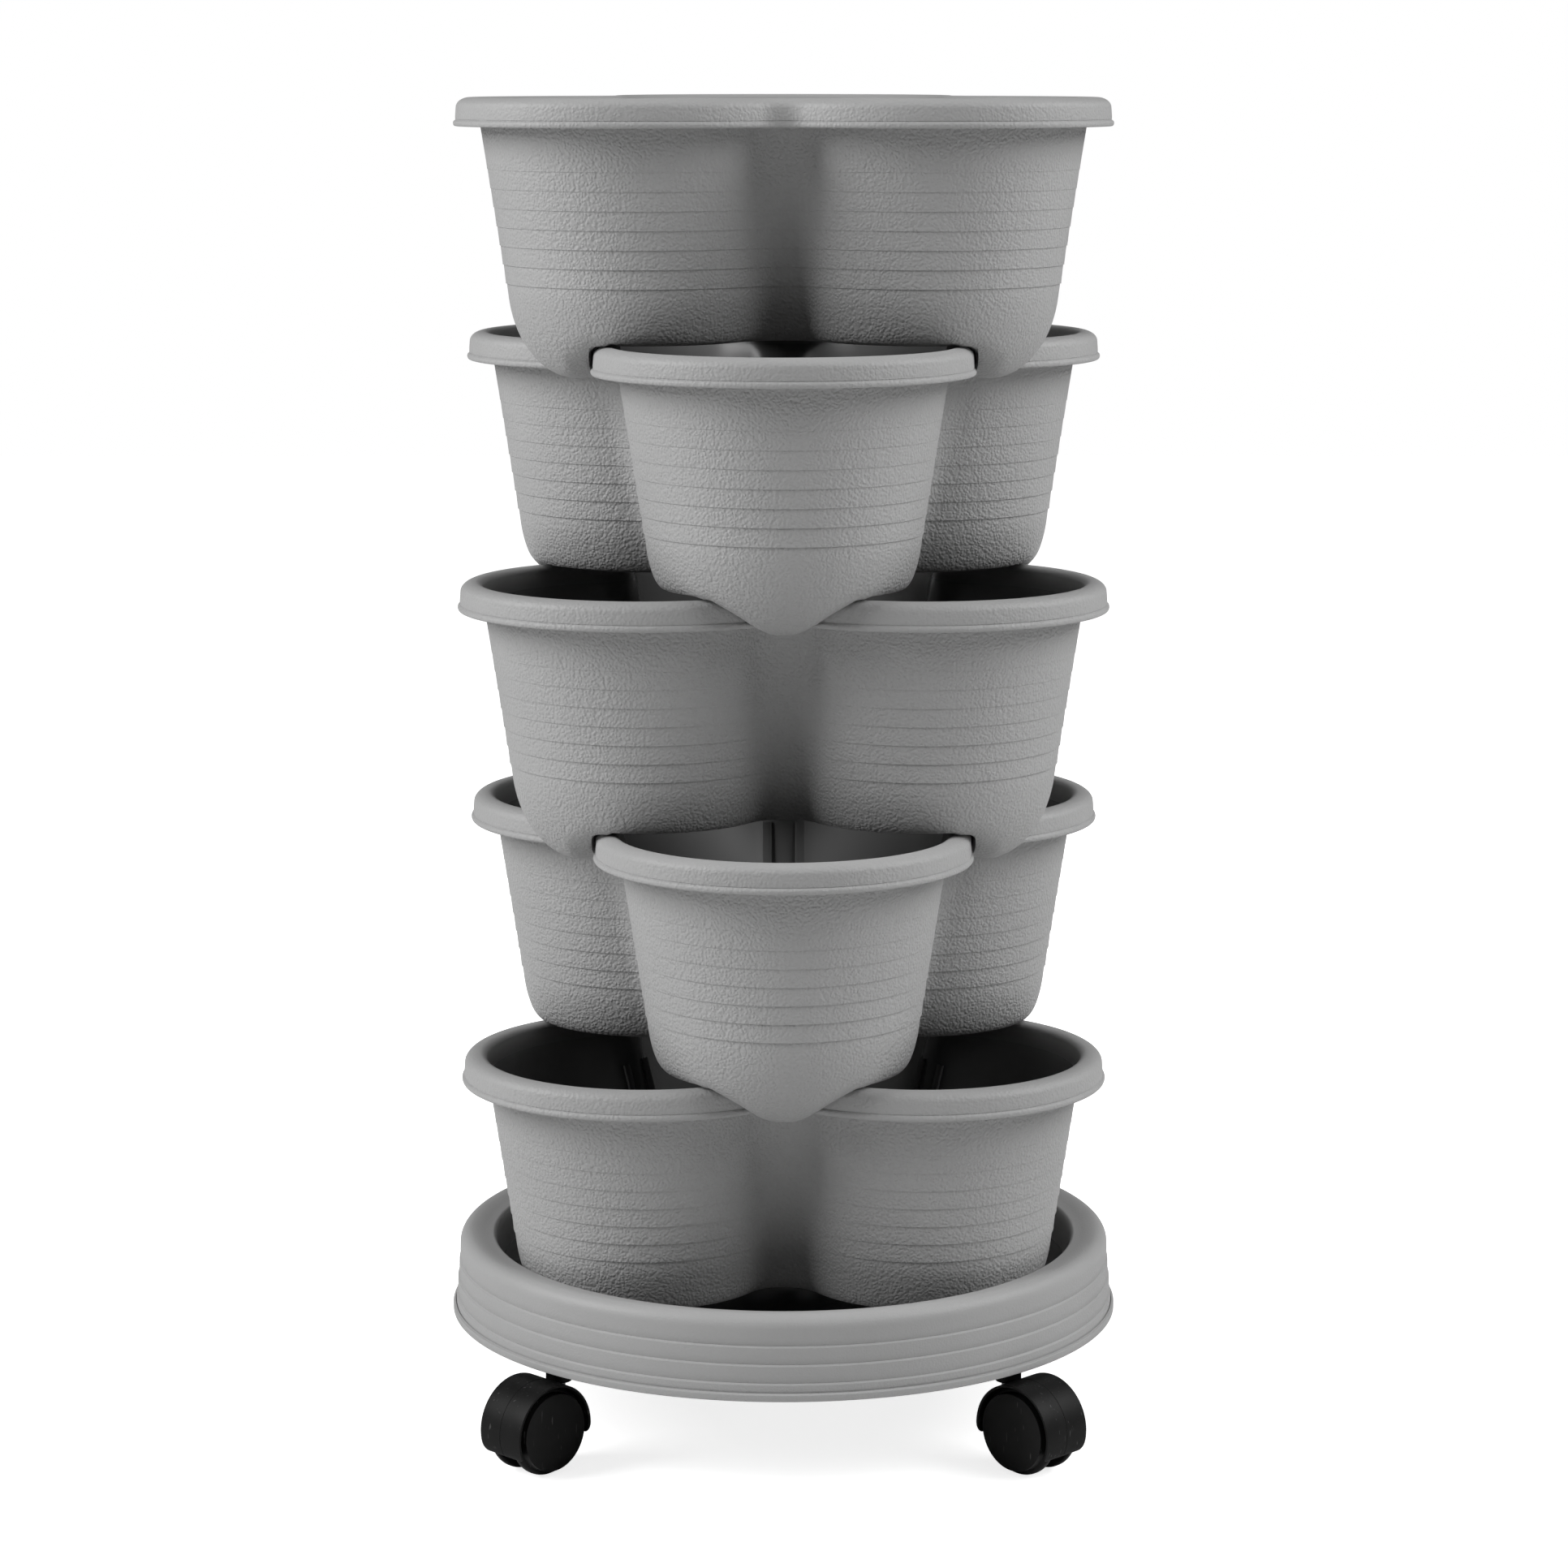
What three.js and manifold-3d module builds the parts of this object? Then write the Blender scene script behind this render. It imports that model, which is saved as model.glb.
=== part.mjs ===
// A stacking planter tower: five three-lobed pots that nest on each other's rims, each turned
// half a lobe from the one below, on a round saucer that rolls on four twin-wheel casters.
// Millimetres, +Z up, the origin on the floor under the tower's axis, the front towards -Y.

import * as THREE from "three";
import { mergeVertices } from "three/addons/utils/BufferGeometryUtils.js";
import Module from "manifold-3d";

const wasm = await Module();
wasm.setup();

// Clearances
const seatGap = 0.3; // between pieces that rest on or slip into each other
const overrun = 2; // how far a cutting tool runs past what it cuts

// Pot, plan of the lobes
const lobeCount = 3;
const lobeCircleRadius = 90; // tower axis to the centre of a lobe

// Pot, wall. Radii are measured from a lobe's centre, fillets are the rounded clefts between lobes.
const potWall = 2.3;
const potFloor = 2.6;
const lipHeight = 119.7; // underside of the base to the bottom of the rim's lip
const wallTaperWidth = 15.5; // how much smaller the lobes are at the wall's foot than at the lip
const wallTopFillet = 29;
const wallFootFillet = 19.8;
const wallFootHeight = 21.7; // where the wall turns into the rounded bottom corner

// Pot, rolled rim
const rimHeight = 16; // lip to crown
const rimWall = 2.4;
const lipOutset = 16.7; // the lip's radius beyond the lobe's offset
const rimOverhang = 15.2; // the lip beyond the top of the wall
const lipFillet = 18;
const beadHeight = 2.4;
const beadStand = 0.9; // how far the lip's bead stands out from the skirt
const beadFall = 0.8;
const skirtFlareWidth = 0.7;
const shoulderWidth = 8;
const shoulderDrop = 5.6;
const rollWidth = 5;
const rollDrop = 3.8;

// Pot, chin under each lobe, which hangs outside the lip of the pot below
const chinDepth = 20;
const chinHalfWidth = 46;
const chinFootStand = 10; // the chin's lowest line outside the cleft of the lip below
const chinClearance = 1;

// Pot, ribs inside the wall on both sides of each cleft
const ribThickness = 1.6;
const ribStand = 2.6;
const ribSpread = 10; // from the middle of the cleft to each rib
const ribTopDrop = 14; // below the lip
const ribFootHeight = 16; // above the base

// Flow grid, a slotted disc that drops into a recess in the pot's floor
const gridRadius = 30.5;
const gridLedgeWidth = 4;
const gridLedgeHeight = 1.1;
const slotCount = 6;
const slotWidth = 3.2;
const slotInnerRadius = 8;
const slotOuterRadius = 23;

// Saucer
const saucerWall = 2.5;
const saucerPotGap = 1.6; // the foot of the pot's wall to the saucer's inner edge
const saucerBeadHeight = 3.8;
const saucerBeadStand = 1.2;
const saucerBeadFall = 0.8;
const saucerHeight = 46.7; // lip to crown
const saucerFlareWidth = 3;
const saucerShoulderHeight = 34; // above the lip
const saucerShoulderWidth = 11.5; // crown to shoulder
const saucerRollWidth = 10.9; // inner edge to crown
const saucerInnerDrop = 6; // the inner edge below the crown
const saucerSlopeWidth = 9.1; // inner edge to the edge of the floor
const saucerCornerWidth = 3;
const saucerCornerHeight = 3;
const saucerFloorLift = 2.8; // the floor's underside above the lip
const ledgeCount = 3;
const ledgeTopDrop = 4.8; // the first ledge below the shoulder
const ledgePitch = 10.2;
const ledgeStep = 0.5;

// Casters
const casterHeadings = [
  ["front_left", -135],
  ["front_right", -45],
  ["rear_left", 135],
  ["rear_right", 45],
];
const casterInset = 15.5; // saucer's lip to each swivel axis
const wheelRadius = 25;
const wheelWidth = 8.2;
const wheelBevel = 1.3;
const wheelFaceWall = 2;
const casterTrail = 17; // swivel axis to the axle
const webHalfWidth = 6.7; // the hood's middle web, between the wheels
const axleRadius = 3;
const wheelHoodGap = 1.3;
const hoodWall = 1.7;
const hoodFrontAngle = 21; // degrees below the axle where the hood ends, on the outer side
const hoodRearAngle = 11; // and on the inner side
const webFootRadius = 16;
const neckRadius = 7;
const neckRise = 3.8; // top of the hood to the saucer's lip
const stemRadius = 4;
const stemTopDrop = 10; // the stem's top below the saucer's crown
const stemGrip = 20.8; // length of the stem in the hood and its neck
const socketWall = 1.5;
const socketFlangeWidth = 1.6;
const socketFlangeHeight = 1.2;
const bossWall = 2.6;

// Facets of the round forms
const lobeSteps = 8;
const filletSteps = 3;
const saucerSteps = 36;
const saucerRollSteps = 3;
const gridSteps = 16;
const wheelSteps = 16;
const hoodSteps = 7;
const pinSteps = 8;
const cornerSteps = 3;
const keelSteps = 6;
const shoulderSteps = 2;

// Turns, radii and heights that follow from the sizes above
const fullTurn = 2 * Math.PI;
const lobeTurn = fullTurn / lobeCount;
const lipRadius = lobeCircleRadius + lipOutset;
const wallTopRadius = lipRadius - rimOverhang;
const wallFootRadius = wallTopRadius - wallTaperWidth;
const saucerEdgeRadius = lobeCircleRadius + wallFootRadius + saucerPotGap;
const saucerCrownRadius = saucerEdgeRadius + saucerRollWidth;
const saucerShoulderRadius = saucerCrownRadius + saucerShoulderWidth;
const saucerSkirtRadius = saucerShoulderRadius + saucerFlareWidth;
const saucerLipRadius = saucerSkirtRadius + saucerBeadStand;
const casterCircle = saucerLipRadius - casterInset;
const hoodRadius = wheelRadius + wheelHoodGap + hoodWall;
const hoodHalfWidth = webHalfWidth + seatGap + wheelWidth + seatGap;
const saucerLipLift = wheelRadius + hoodRadius + neckRise;
const stemFootLift = saucerLipLift - stemGrip;
const potHeight = lipHeight + rimHeight;
const tierPitch = potHeight + seatGap;
const saucerFloorTop = saucerFloorLift + saucerWall;
const bottomPotLift = saucerLipLift + saucerFloorTop + seatGap + chinDepth;

function degrees(angle) {
  return THREE.MathUtils.degToRad(angle);
}

// Solids and meshes

function solidOf(geometry) {
  const bare = geometry.clone();
  bare.deleteAttribute("normal");
  bare.deleteAttribute("uv");
  const merged = mergeVertices(bare);
  const mesh = new wasm.Mesh({
    numProp: 3,
    vertProperties: merged.attributes.position.array,
    triVerts: new Uint32Array(merged.index.array),
  });
  return new wasm.Manifold(mesh);
}

function geometryOf(solid) {
  const mesh = solid.getMesh();
  const geometry = new THREE.BufferGeometry();
  geometry.setAttribute("position", new THREE.BufferAttribute(mesh.vertProperties, 3));
  geometry.setIndex(new THREE.BufferAttribute(mesh.triVerts, 1));
  const faceted = geometry.toNonIndexed();
  faceted.computeVertexNormals();
  return faceted;
}

function pieceOf(name, geometry, finish) {
  const mesh = new THREE.Mesh(geometry, new THREE.MeshStandardMaterial(finish));
  mesh.name = name;
  return mesh;
}

// Turns [radius, height] pairs about the Z axis. The profile runs with the solid on its left.
function revolve(profile, steps, startAngle = 0) {
  const points = profile.map(([radius, height]) => new THREE.Vector2(radius, height));
  const geometry = new THREE.LatheGeometry(points, steps, startAngle);
  return geometry.rotateX(Math.PI / 2);
}

function upright(radius, bottom, top, steps) {
  return revolve([[0, bottom], [radius, bottom], [radius, top], [0, top]], steps);
}

// Points of a quarter ellipse between two [radius, height] pairs, without the first one.
// It leaves the first point along the height and reaches the last along the radius, or the
// other way round when flatFirst is true.
function quarter(from, to, steps, flatFirst = false) {
  const points = [];
  for (let step = 1; step <= steps; step++) {
    const angle = (step / steps) * (Math.PI / 2);
    const along = flatFirst ? Math.sin(angle) : 1 - Math.cos(angle);
    const up = flatFirst ? 1 - Math.cos(angle) : Math.sin(angle);
    points.push([from[0] + (to[0] - from[0]) * along, from[1] + (to[1] - from[1]) * up]);
  }
  return points;
}

// Tower axis to the centre of the hollow arc that touches two neighbouring lobes.
function cleftCentre(radius, fillet) {
  const side = lobeCircleRadius * Math.sin(lobeTurn / 2);
  const reach = radius + fillet;
  return lobeCircleRadius * Math.cos(lobeTurn / 2) + Math.sqrt(reach * reach - side * side);
}

// The three-lobed outline: an arc for each lobe and a hollow arc for each cleft, tangent to both
// neighbours. All outlines have the same count of points, so they can be lofted one by one.
function trefoil(radius, fillet) {
  const half = lobeTurn / 2;
  const filletOffset = cleftCentre(radius, fillet);
  const spread = Math.atan2(
    filletOffset * Math.sin(half),
    filletOffset * Math.cos(half) - lobeCircleRadius,
  );
  const sweep = 2 * (spread - half);
  const points = [];
  const addArc = (offset, heading, size, start, turn, steps) => {
    for (let step = 0; step < steps; step++) {
      const angle = start + (turn * step) / steps;
      points.push(new THREE.Vector2(
        offset * Math.cos(heading) + size * Math.cos(angle),
        offset * Math.sin(heading) + size * Math.sin(angle),
      ));
    }
  };
  for (let lobe = 0; lobe < lobeCount; lobe++) {
    const heading = Math.PI / 2 + lobe * lobeTurn;
    addArc(lobeCircleRadius, heading, radius, heading - spread, 2 * spread, lobeSteps);
    addArc(filletOffset, heading + half, fillet, heading + spread + Math.PI, -sweep, filletSteps);
  }
  return points;
}

// Joins sections [radius, fillet, height] into one closed body, capped at the first and the last.
function loft(sections) {
  const outlines = sections.map(([radius, fillet]) => trefoil(radius, fillet));
  const count = outlines[0].length;
  const positions = [];
  outlines.forEach((outline, level) => {
    outline.forEach((point) => positions.push(point.x, point.y, sections[level][2]));
  });
  const faces = [];
  for (let level = 0; level + 1 < outlines.length; level++) {
    for (let index = 0; index < count; index++) {
      const next = (index + 1) % count;
      const low = level * count;
      const high = low + count;
      faces.push(low + index, low + next, high + next);
      faces.push(low + index, high + next, high + index);
    }
  }
  const last = count * (outlines.length - 1);
  for (const [a, b, c] of THREE.ShapeUtils.triangulateShape(outlines[0], [])) {
    faces.push(a, c, b);
  }
  for (const [a, b, c] of THREE.ShapeUtils.triangulateShape(outlines.at(-1), [])) {
    faces.push(last + a, last + b, last + c);
  }
  const geometry = new THREE.BufferGeometry();
  geometry.setAttribute("position", new THREE.Float32BufferAttribute(positions, 3));
  geometry.setIndex(faces);
  return geometry;
}

// Pot

// The wall leans evenly from its foot to the lip and on up into the rim. Inset moves it inwards.
function wallAt(height, inset) {
  const share = (height - wallFootHeight) / (lipHeight - wallFootHeight);
  const radius = THREE.MathUtils.lerp(wallFootRadius, wallTopRadius, share);
  const fillet = THREE.MathUtils.lerp(wallFootFillet, wallTopFillet, share);
  return [radius - inset, fillet + inset, height];
}

// The rounded bottom, from the lowest point of the chins up to the foot of the wall: a quarter
// ellipse set off from the leaning line of the wall, which draws in until the chin stands just
// outside the cleft of the lip below.
function cornerSections(inset, steps) {
  const drop = wallFootHeight + chinDepth - inset;
  const lowestReach = lobeCircleRadius + wallAt(-chinDepth, 0)[0];
  const lipCleft = cleftCentre(lipRadius, lipFillet) - lipFillet;
  const cornerReach = lowestReach - lipCleft - chinFootStand;
  const sections = [];
  for (let step = steps; step >= 0; step--) {
    const angle = (step / steps) * (Math.PI / 2);
    const reach = cornerReach * (1 - Math.cos(angle));
    sections.push(wallAt(wallFootHeight - drop * Math.sin(angle), inset + reach));
  }
  return sections;
}

// The rim keeps parallel to its lip all round, so its fillet grows as its radius shrinks.
function rimSection([radius, height]) {
  return [radius, lipFillet + lipRadius - radius, height];
}

function potSections() {
  const crown = lipHeight + rimHeight;
  const skirtFoot = [lipRadius - beadStand, lipHeight + beadHeight + beadFall];
  const skirtTop = [skirtFoot[0] - skirtFlareWidth, crown - shoulderDrop];
  const crownTop = [skirtTop[0] - shoulderWidth, crown];
  const rollFoot = [crownTop[0] - rollWidth, crown - rollDrop];
  const ceiling = crown - rimWall;
  const hollow = [
    [crownTop[0] + shoulderWidth / 2, ceiling],
    [skirtTop[0] - rimWall, skirtTop[1]],
    [skirtFoot[0] - rimWall, lipHeight],
  ];
  const outside = [
    [lipRadius, lipHeight],
    [lipRadius, lipHeight + beadHeight],
    skirtFoot,
    skirtTop,
    ...quarter(skirtTop, crownTop, shoulderSteps),
    ...quarter(crownTop, rollFoot, shoulderSteps, true),
  ];
  return [
    ...cornerSections(0, cornerSteps),
    wallAt(ceiling, 0),
    ...hollow.map(rimSection),
    ...outside.map(rimSection),
    wallAt(lipHeight, potWall),
    ...cornerSections(potWall, cornerSteps).reverse(),
  ];
}

// The space that the pot below and its lip take up, grown by a clearance. The pot below is turned
// half a lobe, so the outline is turned too.
function lipSpace(growth, bottom, top) {
  const sections = [bottom, top].map((height) => [lipRadius + growth, lipFillet - growth, height]);
  return solidOf(loft(sections).rotateZ(lobeTurn / 2));
}

// The space under a chin, whose lower edge is a bell curve across the lobe, raised by a growth.
function keelSpace(lobe, growth) {
  const below = -chinDepth - overrun;
  const outline = [new THREE.Vector2(-chinHalfWidth, below), new THREE.Vector2(chinHalfWidth, below)];
  for (let step = keelSteps; step >= 0; step--) {
    const share = (2 * step) / keelSteps - 1;
    const height = (-chinDepth * (1 + Math.cos(Math.PI * share))) / 2;
    outline.push(new THREE.Vector2(share * chinHalfWidth, height + growth));
  }
  const space = new THREE.ExtrudeGeometry(new THREE.Shape(outline), {
    depth: lipRadius,
    bevelEnabled: false,
  });
  space.translate(0, 0, lobeCircleRadius).rotateX(Math.PI / 2);
  return solidOf(space.rotateZ(Math.PI + lobe * lobeTurn));
}

function cleftRib(side, heading) {
  const innerFace = (height) => {
    const [radius, fillet] = wallAt(height, potWall);
    return cleftCentre(radius, fillet) - fillet;
  };
  const top = lipHeight - ribTopDrop;
  const shape = new THREE.Shape([
    new THREE.Vector2(innerFace(ribFootHeight) - ribStand, ribFootHeight),
    new THREE.Vector2(innerFace(ribFootHeight) + ribStand, ribFootHeight),
    new THREE.Vector2(innerFace(top) + ribStand, top),
    new THREE.Vector2(innerFace(top) - ribStand, top),
  ]);
  const plate = new THREE.ExtrudeGeometry(shape, { depth: ribThickness, bevelEnabled: false });
  plate.translate(0, 0, side * ribSpread - ribThickness / 2);
  plate.rotateX(Math.PI / 2);
  return solidOf(plate.rotateZ(heading));
}

function potGeometry() {
  const below = -chinDepth - overrun;
  const shell = solidOf(loft(potSections()));
  const middle = solidOf(loft([
    ...cornerSections(potWall / 2, cornerSteps),
    wallAt(lipHeight, potWall / 2),
  ]));
  const belowLip = lipSpace(chinClearance, below, 0);
  const floor = lipSpace(chinClearance + potWall, below, potFloor).intersect(middle);
  let pot = shell.add(floor);
  for (let lobe = 0; lobe < lobeCount; lobe++) {
    pot = pot.add(keelSpace(lobe, potWall).intersect(middle)).subtract(keelSpace(lobe, 0));
    for (const side of [-1, 1]) {
      pot = pot.add(cleftRib(side, -Math.PI / 2 + lobe * lobeTurn).intersect(middle));
    }
  }
  pot = pot.subtract(belowLip);
  const recess = upright(gridRadius + seatGap, gridLedgeHeight, potFloor + overrun, gridSteps);
  const drain = upright(gridRadius - gridLedgeWidth, -overrun, potFloor + overrun, gridSteps);
  return geometryOf(pot.subtract(solidOf(recess)).subtract(solidOf(drain)));
}

function gridGeometry() {
  const disc = new THREE.Shape();
  disc.absarc(0, 0, gridRadius, 0, fullTurn);
  for (let slot = 0; slot < slotCount; slot++) {
    const heading = (slot / slotCount) * fullTurn;
    const corners = [
      [slotInnerRadius, -slotWidth / 2],
      [slotOuterRadius, -slotWidth / 2],
      [slotOuterRadius, slotWidth / 2],
      [slotInnerRadius, slotWidth / 2],
    ];
    disc.holes.push(new THREE.Path(corners.map(([x, y]) => (
      new THREE.Vector2(x, y).rotateAround(new THREE.Vector2(), heading)
    ))));
  }
  const thickness = potFloor - gridLedgeHeight - seatGap;
  return new THREE.ExtrudeGeometry(disc, {
    depth: thickness,
    bevelEnabled: false,
    curveSegments: gridSteps / 2,
  });
}

// Saucer, from its lip up

function saucerGeometry() {
  const skirtFoot = [saucerSkirtRadius, saucerBeadHeight + saucerBeadFall];
  const shoulder = [saucerShoulderRadius, saucerShoulderHeight];
  const crown = [saucerCrownRadius, saucerHeight];
  const edge = [saucerEdgeRadius, saucerHeight - saucerInnerDrop];
  const floorRadius = saucerEdgeRadius - saucerSlopeWidth;
  const corner = [floorRadius + saucerCornerWidth, saucerFloorTop + saucerCornerHeight];
  const ledges = [];
  for (let ledge = ledgeCount - 1; ledge >= 0; ledge--) {
    const height = saucerShoulderHeight - ledgeTopDrop - ledge * ledgePitch;
    const radius = shoulder[0] + (saucerFlareWidth * (shoulder[1] - height)) / shoulder[1];
    ledges.push([radius, height], [radius - ledgeStep, height + ledgeStep]);
  }
  const outside = [
    [skirtFoot[0] - saucerWall, 0],
    [saucerLipRadius, 0],
    [saucerLipRadius, saucerBeadHeight],
    skirtFoot,
    ...ledges,
    shoulder,
    ...quarter(shoulder, crown, saucerRollSteps),
    ...quarter(crown, edge, shoulderSteps, true),
    corner,
    [floorRadius, saucerFloorTop],
    [0, saucerFloorTop],
  ];
  const hollow = [
    [0, saucerFloorLift],
    [floorRadius, saucerFloorLift],
    [corner[0] + saucerWall, saucerFloorLift + saucerCornerHeight],
    [edge[0] + saucerWall, edge[1] - saucerWall],
    [crown[0], crown[1] - saucerWall],
    [shoulder[0] - saucerWall - ledgeStep, shoulder[1]],
  ];
  let saucer = solidOf(revolve([...hollow, ...outside], saucerSteps));
  const middle = solidOf(revolve([
    [0, saucerFloorLift + saucerWall / 2],
    [floorRadius, saucerFloorLift + saucerWall / 2],
    [corner[0] + saucerWall / 2, 0],
    [shoulder[0] - saucerWall, 0],
    [shoulder[0] - saucerWall, shoulder[1]],
    [crown[0], crown[1] - saucerWall / 2],
    [edge[0] + saucerWall / 2, edge[1] - saucerWall / 2],
    [0, edge[1] - saucerWall / 2],
  ], saucerSteps));
  const socketRadius = stemRadius + seatGap + socketWall;
  for (const [, heading] of casterHeadings) {
    const place = [
      casterCircle * Math.cos(degrees(heading)),
      casterCircle * Math.sin(degrees(heading)),
      0,
    ];
    const bossFoot = socketFlangeHeight + 2 * seatGap;
    const bossRadius = socketRadius + seatGap + bossWall;
    const boss = solidOf(upright(bossRadius, bossFoot, saucerHeight, pinSteps).translate(...place));
    const boreTop = saucerHeight - stemTopDrop + overrun;
    const bore = upright(socketRadius + seatGap, -overrun, boreTop, pinSteps);
    saucer = saucer.add(boss.intersect(middle)).subtract(solidOf(bore.translate(...place)));
  }
  return geometryOf(saucer);
}

// Caster, from the floor up on its swivel axis, with the wheels trailing towards +X

function hoodGeometry() {
  const front = degrees(-hoodFrontAngle);
  const rear = Math.PI + degrees(hoodRearAngle);
  const side = new THREE.Shape();
  side.absarc(casterTrail, wheelRadius, hoodRadius, front, rear);
  side.absarc(casterTrail, wheelRadius, webFootRadius, rear, front + fullTurn);
  const blank = new THREE.ExtrudeGeometry(side, {
    depth: 2 * hoodHalfWidth,
    bevelEnabled: false,
    curveSegments: hoodSteps,
  });
  blank.translate(0, 0, -hoodHalfWidth);
  blank.rotateX(Math.PI / 2);
  const neck = upright(neckRadius, wheelRadius, saucerLipLift, pinSteps);
  const bore = upright(stemRadius + seatGap, stemFootLift - seatGap, saucerLipLift + overrun, pinSteps);
  let hood = solidOf(blank).add(solidOf(neck));
  for (const direction of [-1, 1]) {
    const pocket = upright(hoodRadius - hoodWall, webHalfWidth, hoodHalfWidth + overrun, 3 * hoodSteps);
    pocket.rotateX((direction * Math.PI) / 2);
    hood = hood.subtract(solidOf(pocket.translate(casterTrail, 0, wheelRadius)));
  }
  const cross = upright(axleRadius + seatGap, -hoodHalfWidth, hoodHalfWidth, pinSteps);
  cross.rotateX(Math.PI / 2).translate(casterTrail, 0, wheelRadius);
  return geometryOf(hood.subtract(solidOf(bore)).subtract(solidOf(cross)));
}

// A wheel on its own axis, inner face at zero, with flats that just touch the floor.
function wheelGeometry() {
  const tread = wheelRadius / Math.cos(Math.PI / wheelSteps);
  const boreRadius = axleRadius + seatGap;
  const boreDepth = wheelWidth - wheelFaceWall;
  return revolve([
    [0, boreDepth],
    [boreRadius, boreDepth],
    [boreRadius, 0],
    [tread - wheelBevel, 0],
    [tread, wheelBevel],
    [tread, wheelWidth - wheelBevel],
    [tread - wheelBevel, wheelWidth],
    [0, wheelWidth],
  ], wheelSteps, Math.PI / wheelSteps);
}

function axleGeometry() {
  const half = webHalfWidth + seatGap + wheelWidth - wheelFaceWall - seatGap;
  return upright(axleRadius, -half, half, pinSteps).rotateX(Math.PI / 2);
}

function stemGeometry() {
  return upright(stemRadius, stemFootLift, saucerLipLift + saucerHeight - stemTopDrop, pinSteps);
}

function socketGeometry() {
  const inner = stemRadius + seatGap;
  const outer = inner + socketWall;
  const foot = saucerLipLift + seatGap;
  const top = saucerLipLift + saucerHeight - stemTopDrop;
  return revolve([
    [inner, foot],
    [outer + socketFlangeWidth, foot],
    [outer + socketFlangeWidth, foot + socketFlangeHeight],
    [outer, foot + socketFlangeHeight],
    [outer, top],
    [inner, top],
    [inner, foot],
  ], pinSteps);
}

// Finishes
const greyPlastic = { color: 0x9b9b9b, roughness: 0.55, metalness: 0 };
const darkPlastic = { color: 0x3a3a3a, roughness: 0.5, metalness: 0 };
const hoodPlastic = { color: 0x1e1e1e, roughness: 0.5, metalness: 0 };
const wheelPlastic = { color: 0x151515, roughness: 0.45, metalness: 0 };
const steel = { color: 0xb8babd, roughness: 0.35, metalness: 1 };

// Assembly
const tower = new THREE.Group();
tower.add(pieceOf("saucer", saucerGeometry().translate(0, 0, saucerLipLift), greyPlastic));

const potShape = potGeometry();
const gridShape = gridGeometry();
["bottom", "lower", "middle", "upper", "top"].forEach((tier, level) => {
  const pot = new THREE.Group();
  pot.position.z = bottomPotLift + level * tierPitch;
  pot.rotation.z = (level % 2) * Math.PI;
  pot.add(pieceOf(tier + "_pot", potShape, greyPlastic));
  const grid = pieceOf(tier + "_flow_grid", gridShape, darkPlastic);
  grid.position.z = gridLedgeHeight + seatGap;
  pot.add(grid);
  tower.add(pot);
});

const hoodShape = hoodGeometry();
const wheelShape = wheelGeometry();
for (const [corner, heading] of casterHeadings) {
  const caster = new THREE.Group();
  caster.rotation.z = degrees(heading);
  caster.position.x = casterCircle * Math.cos(caster.rotation.z);
  caster.position.y = casterCircle * Math.sin(caster.rotation.z);
  caster.add(pieceOf(corner + "_socket", socketGeometry(), darkPlastic));
  caster.add(pieceOf(corner + "_stem", stemGeometry(), steel));
  caster.add(pieceOf(corner + "_hood", hoodShape, hoodPlastic));
  const axle = pieceOf(corner + "_axle", axleGeometry(), steel);
  axle.position.set(casterTrail, 0, wheelRadius);
  caster.add(axle);
  for (const [side, direction] of [["left", 1], ["right", -1]]) {
    const wheel = pieceOf(corner + "_" + side + "_wheel", wheelShape, wheelPlastic);
    wheel.rotation.x = (-direction * Math.PI) / 2;
    wheel.position.set(casterTrail, direction * (webHalfWidth + seatGap), wheelRadius);
    caster.add(wheel);
  }
  tower.add(caster);
}

export default tower;
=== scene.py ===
# %% [markdown]
# A rolling tower of stacked plant pots.
# The tower is five copies of one moulded pot. Each pot has three lobes and is turned half a lobe
# from the pot below, so that its lobes stand over the clefts underneath. A round saucer catches
# the water, and four twin-wheel casters carry it all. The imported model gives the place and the
# size of each piece, and this lesson gives the pieces their fine shape and their finish.

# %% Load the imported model
import math

import bmesh
import bpy
import numpy as np
from mathutils import Matrix, Vector


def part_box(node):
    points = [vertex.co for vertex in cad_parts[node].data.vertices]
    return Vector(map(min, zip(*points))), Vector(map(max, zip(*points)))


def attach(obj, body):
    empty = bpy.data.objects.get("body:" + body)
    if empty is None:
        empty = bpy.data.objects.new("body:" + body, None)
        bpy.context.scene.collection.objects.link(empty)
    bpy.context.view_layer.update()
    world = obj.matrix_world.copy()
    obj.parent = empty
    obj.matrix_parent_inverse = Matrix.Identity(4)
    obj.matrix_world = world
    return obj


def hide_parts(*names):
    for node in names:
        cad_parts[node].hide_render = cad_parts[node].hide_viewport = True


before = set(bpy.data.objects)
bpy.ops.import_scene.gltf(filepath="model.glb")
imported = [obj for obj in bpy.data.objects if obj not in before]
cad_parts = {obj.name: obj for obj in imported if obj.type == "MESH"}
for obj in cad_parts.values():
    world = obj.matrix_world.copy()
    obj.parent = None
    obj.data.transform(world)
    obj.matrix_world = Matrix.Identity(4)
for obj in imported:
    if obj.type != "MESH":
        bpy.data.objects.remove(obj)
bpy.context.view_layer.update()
MM = 0.001

# %% [markdown]
# A few small tools serve the whole lesson. One turns an sRGB hex colour into the linear colour
# that shaders work in. One adds a node with its settings and its links, for materials and for
# geometry alike, and it feeds the node by a tool of its own, which also serves a shader that is
# there already. One makes a new material, and one puts an object into the scene.

# %% Colour and node tools
def linear(hex_colour):
    channels = [int(hex_colour[i:i + 2], 16) / 255 for i in (1, 3, 5)]
    return [c / 12.92 if c <= 0.04045 else ((c + 0.055) / 1.055) ** 2.4 for c in channels] + [1.0]


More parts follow.
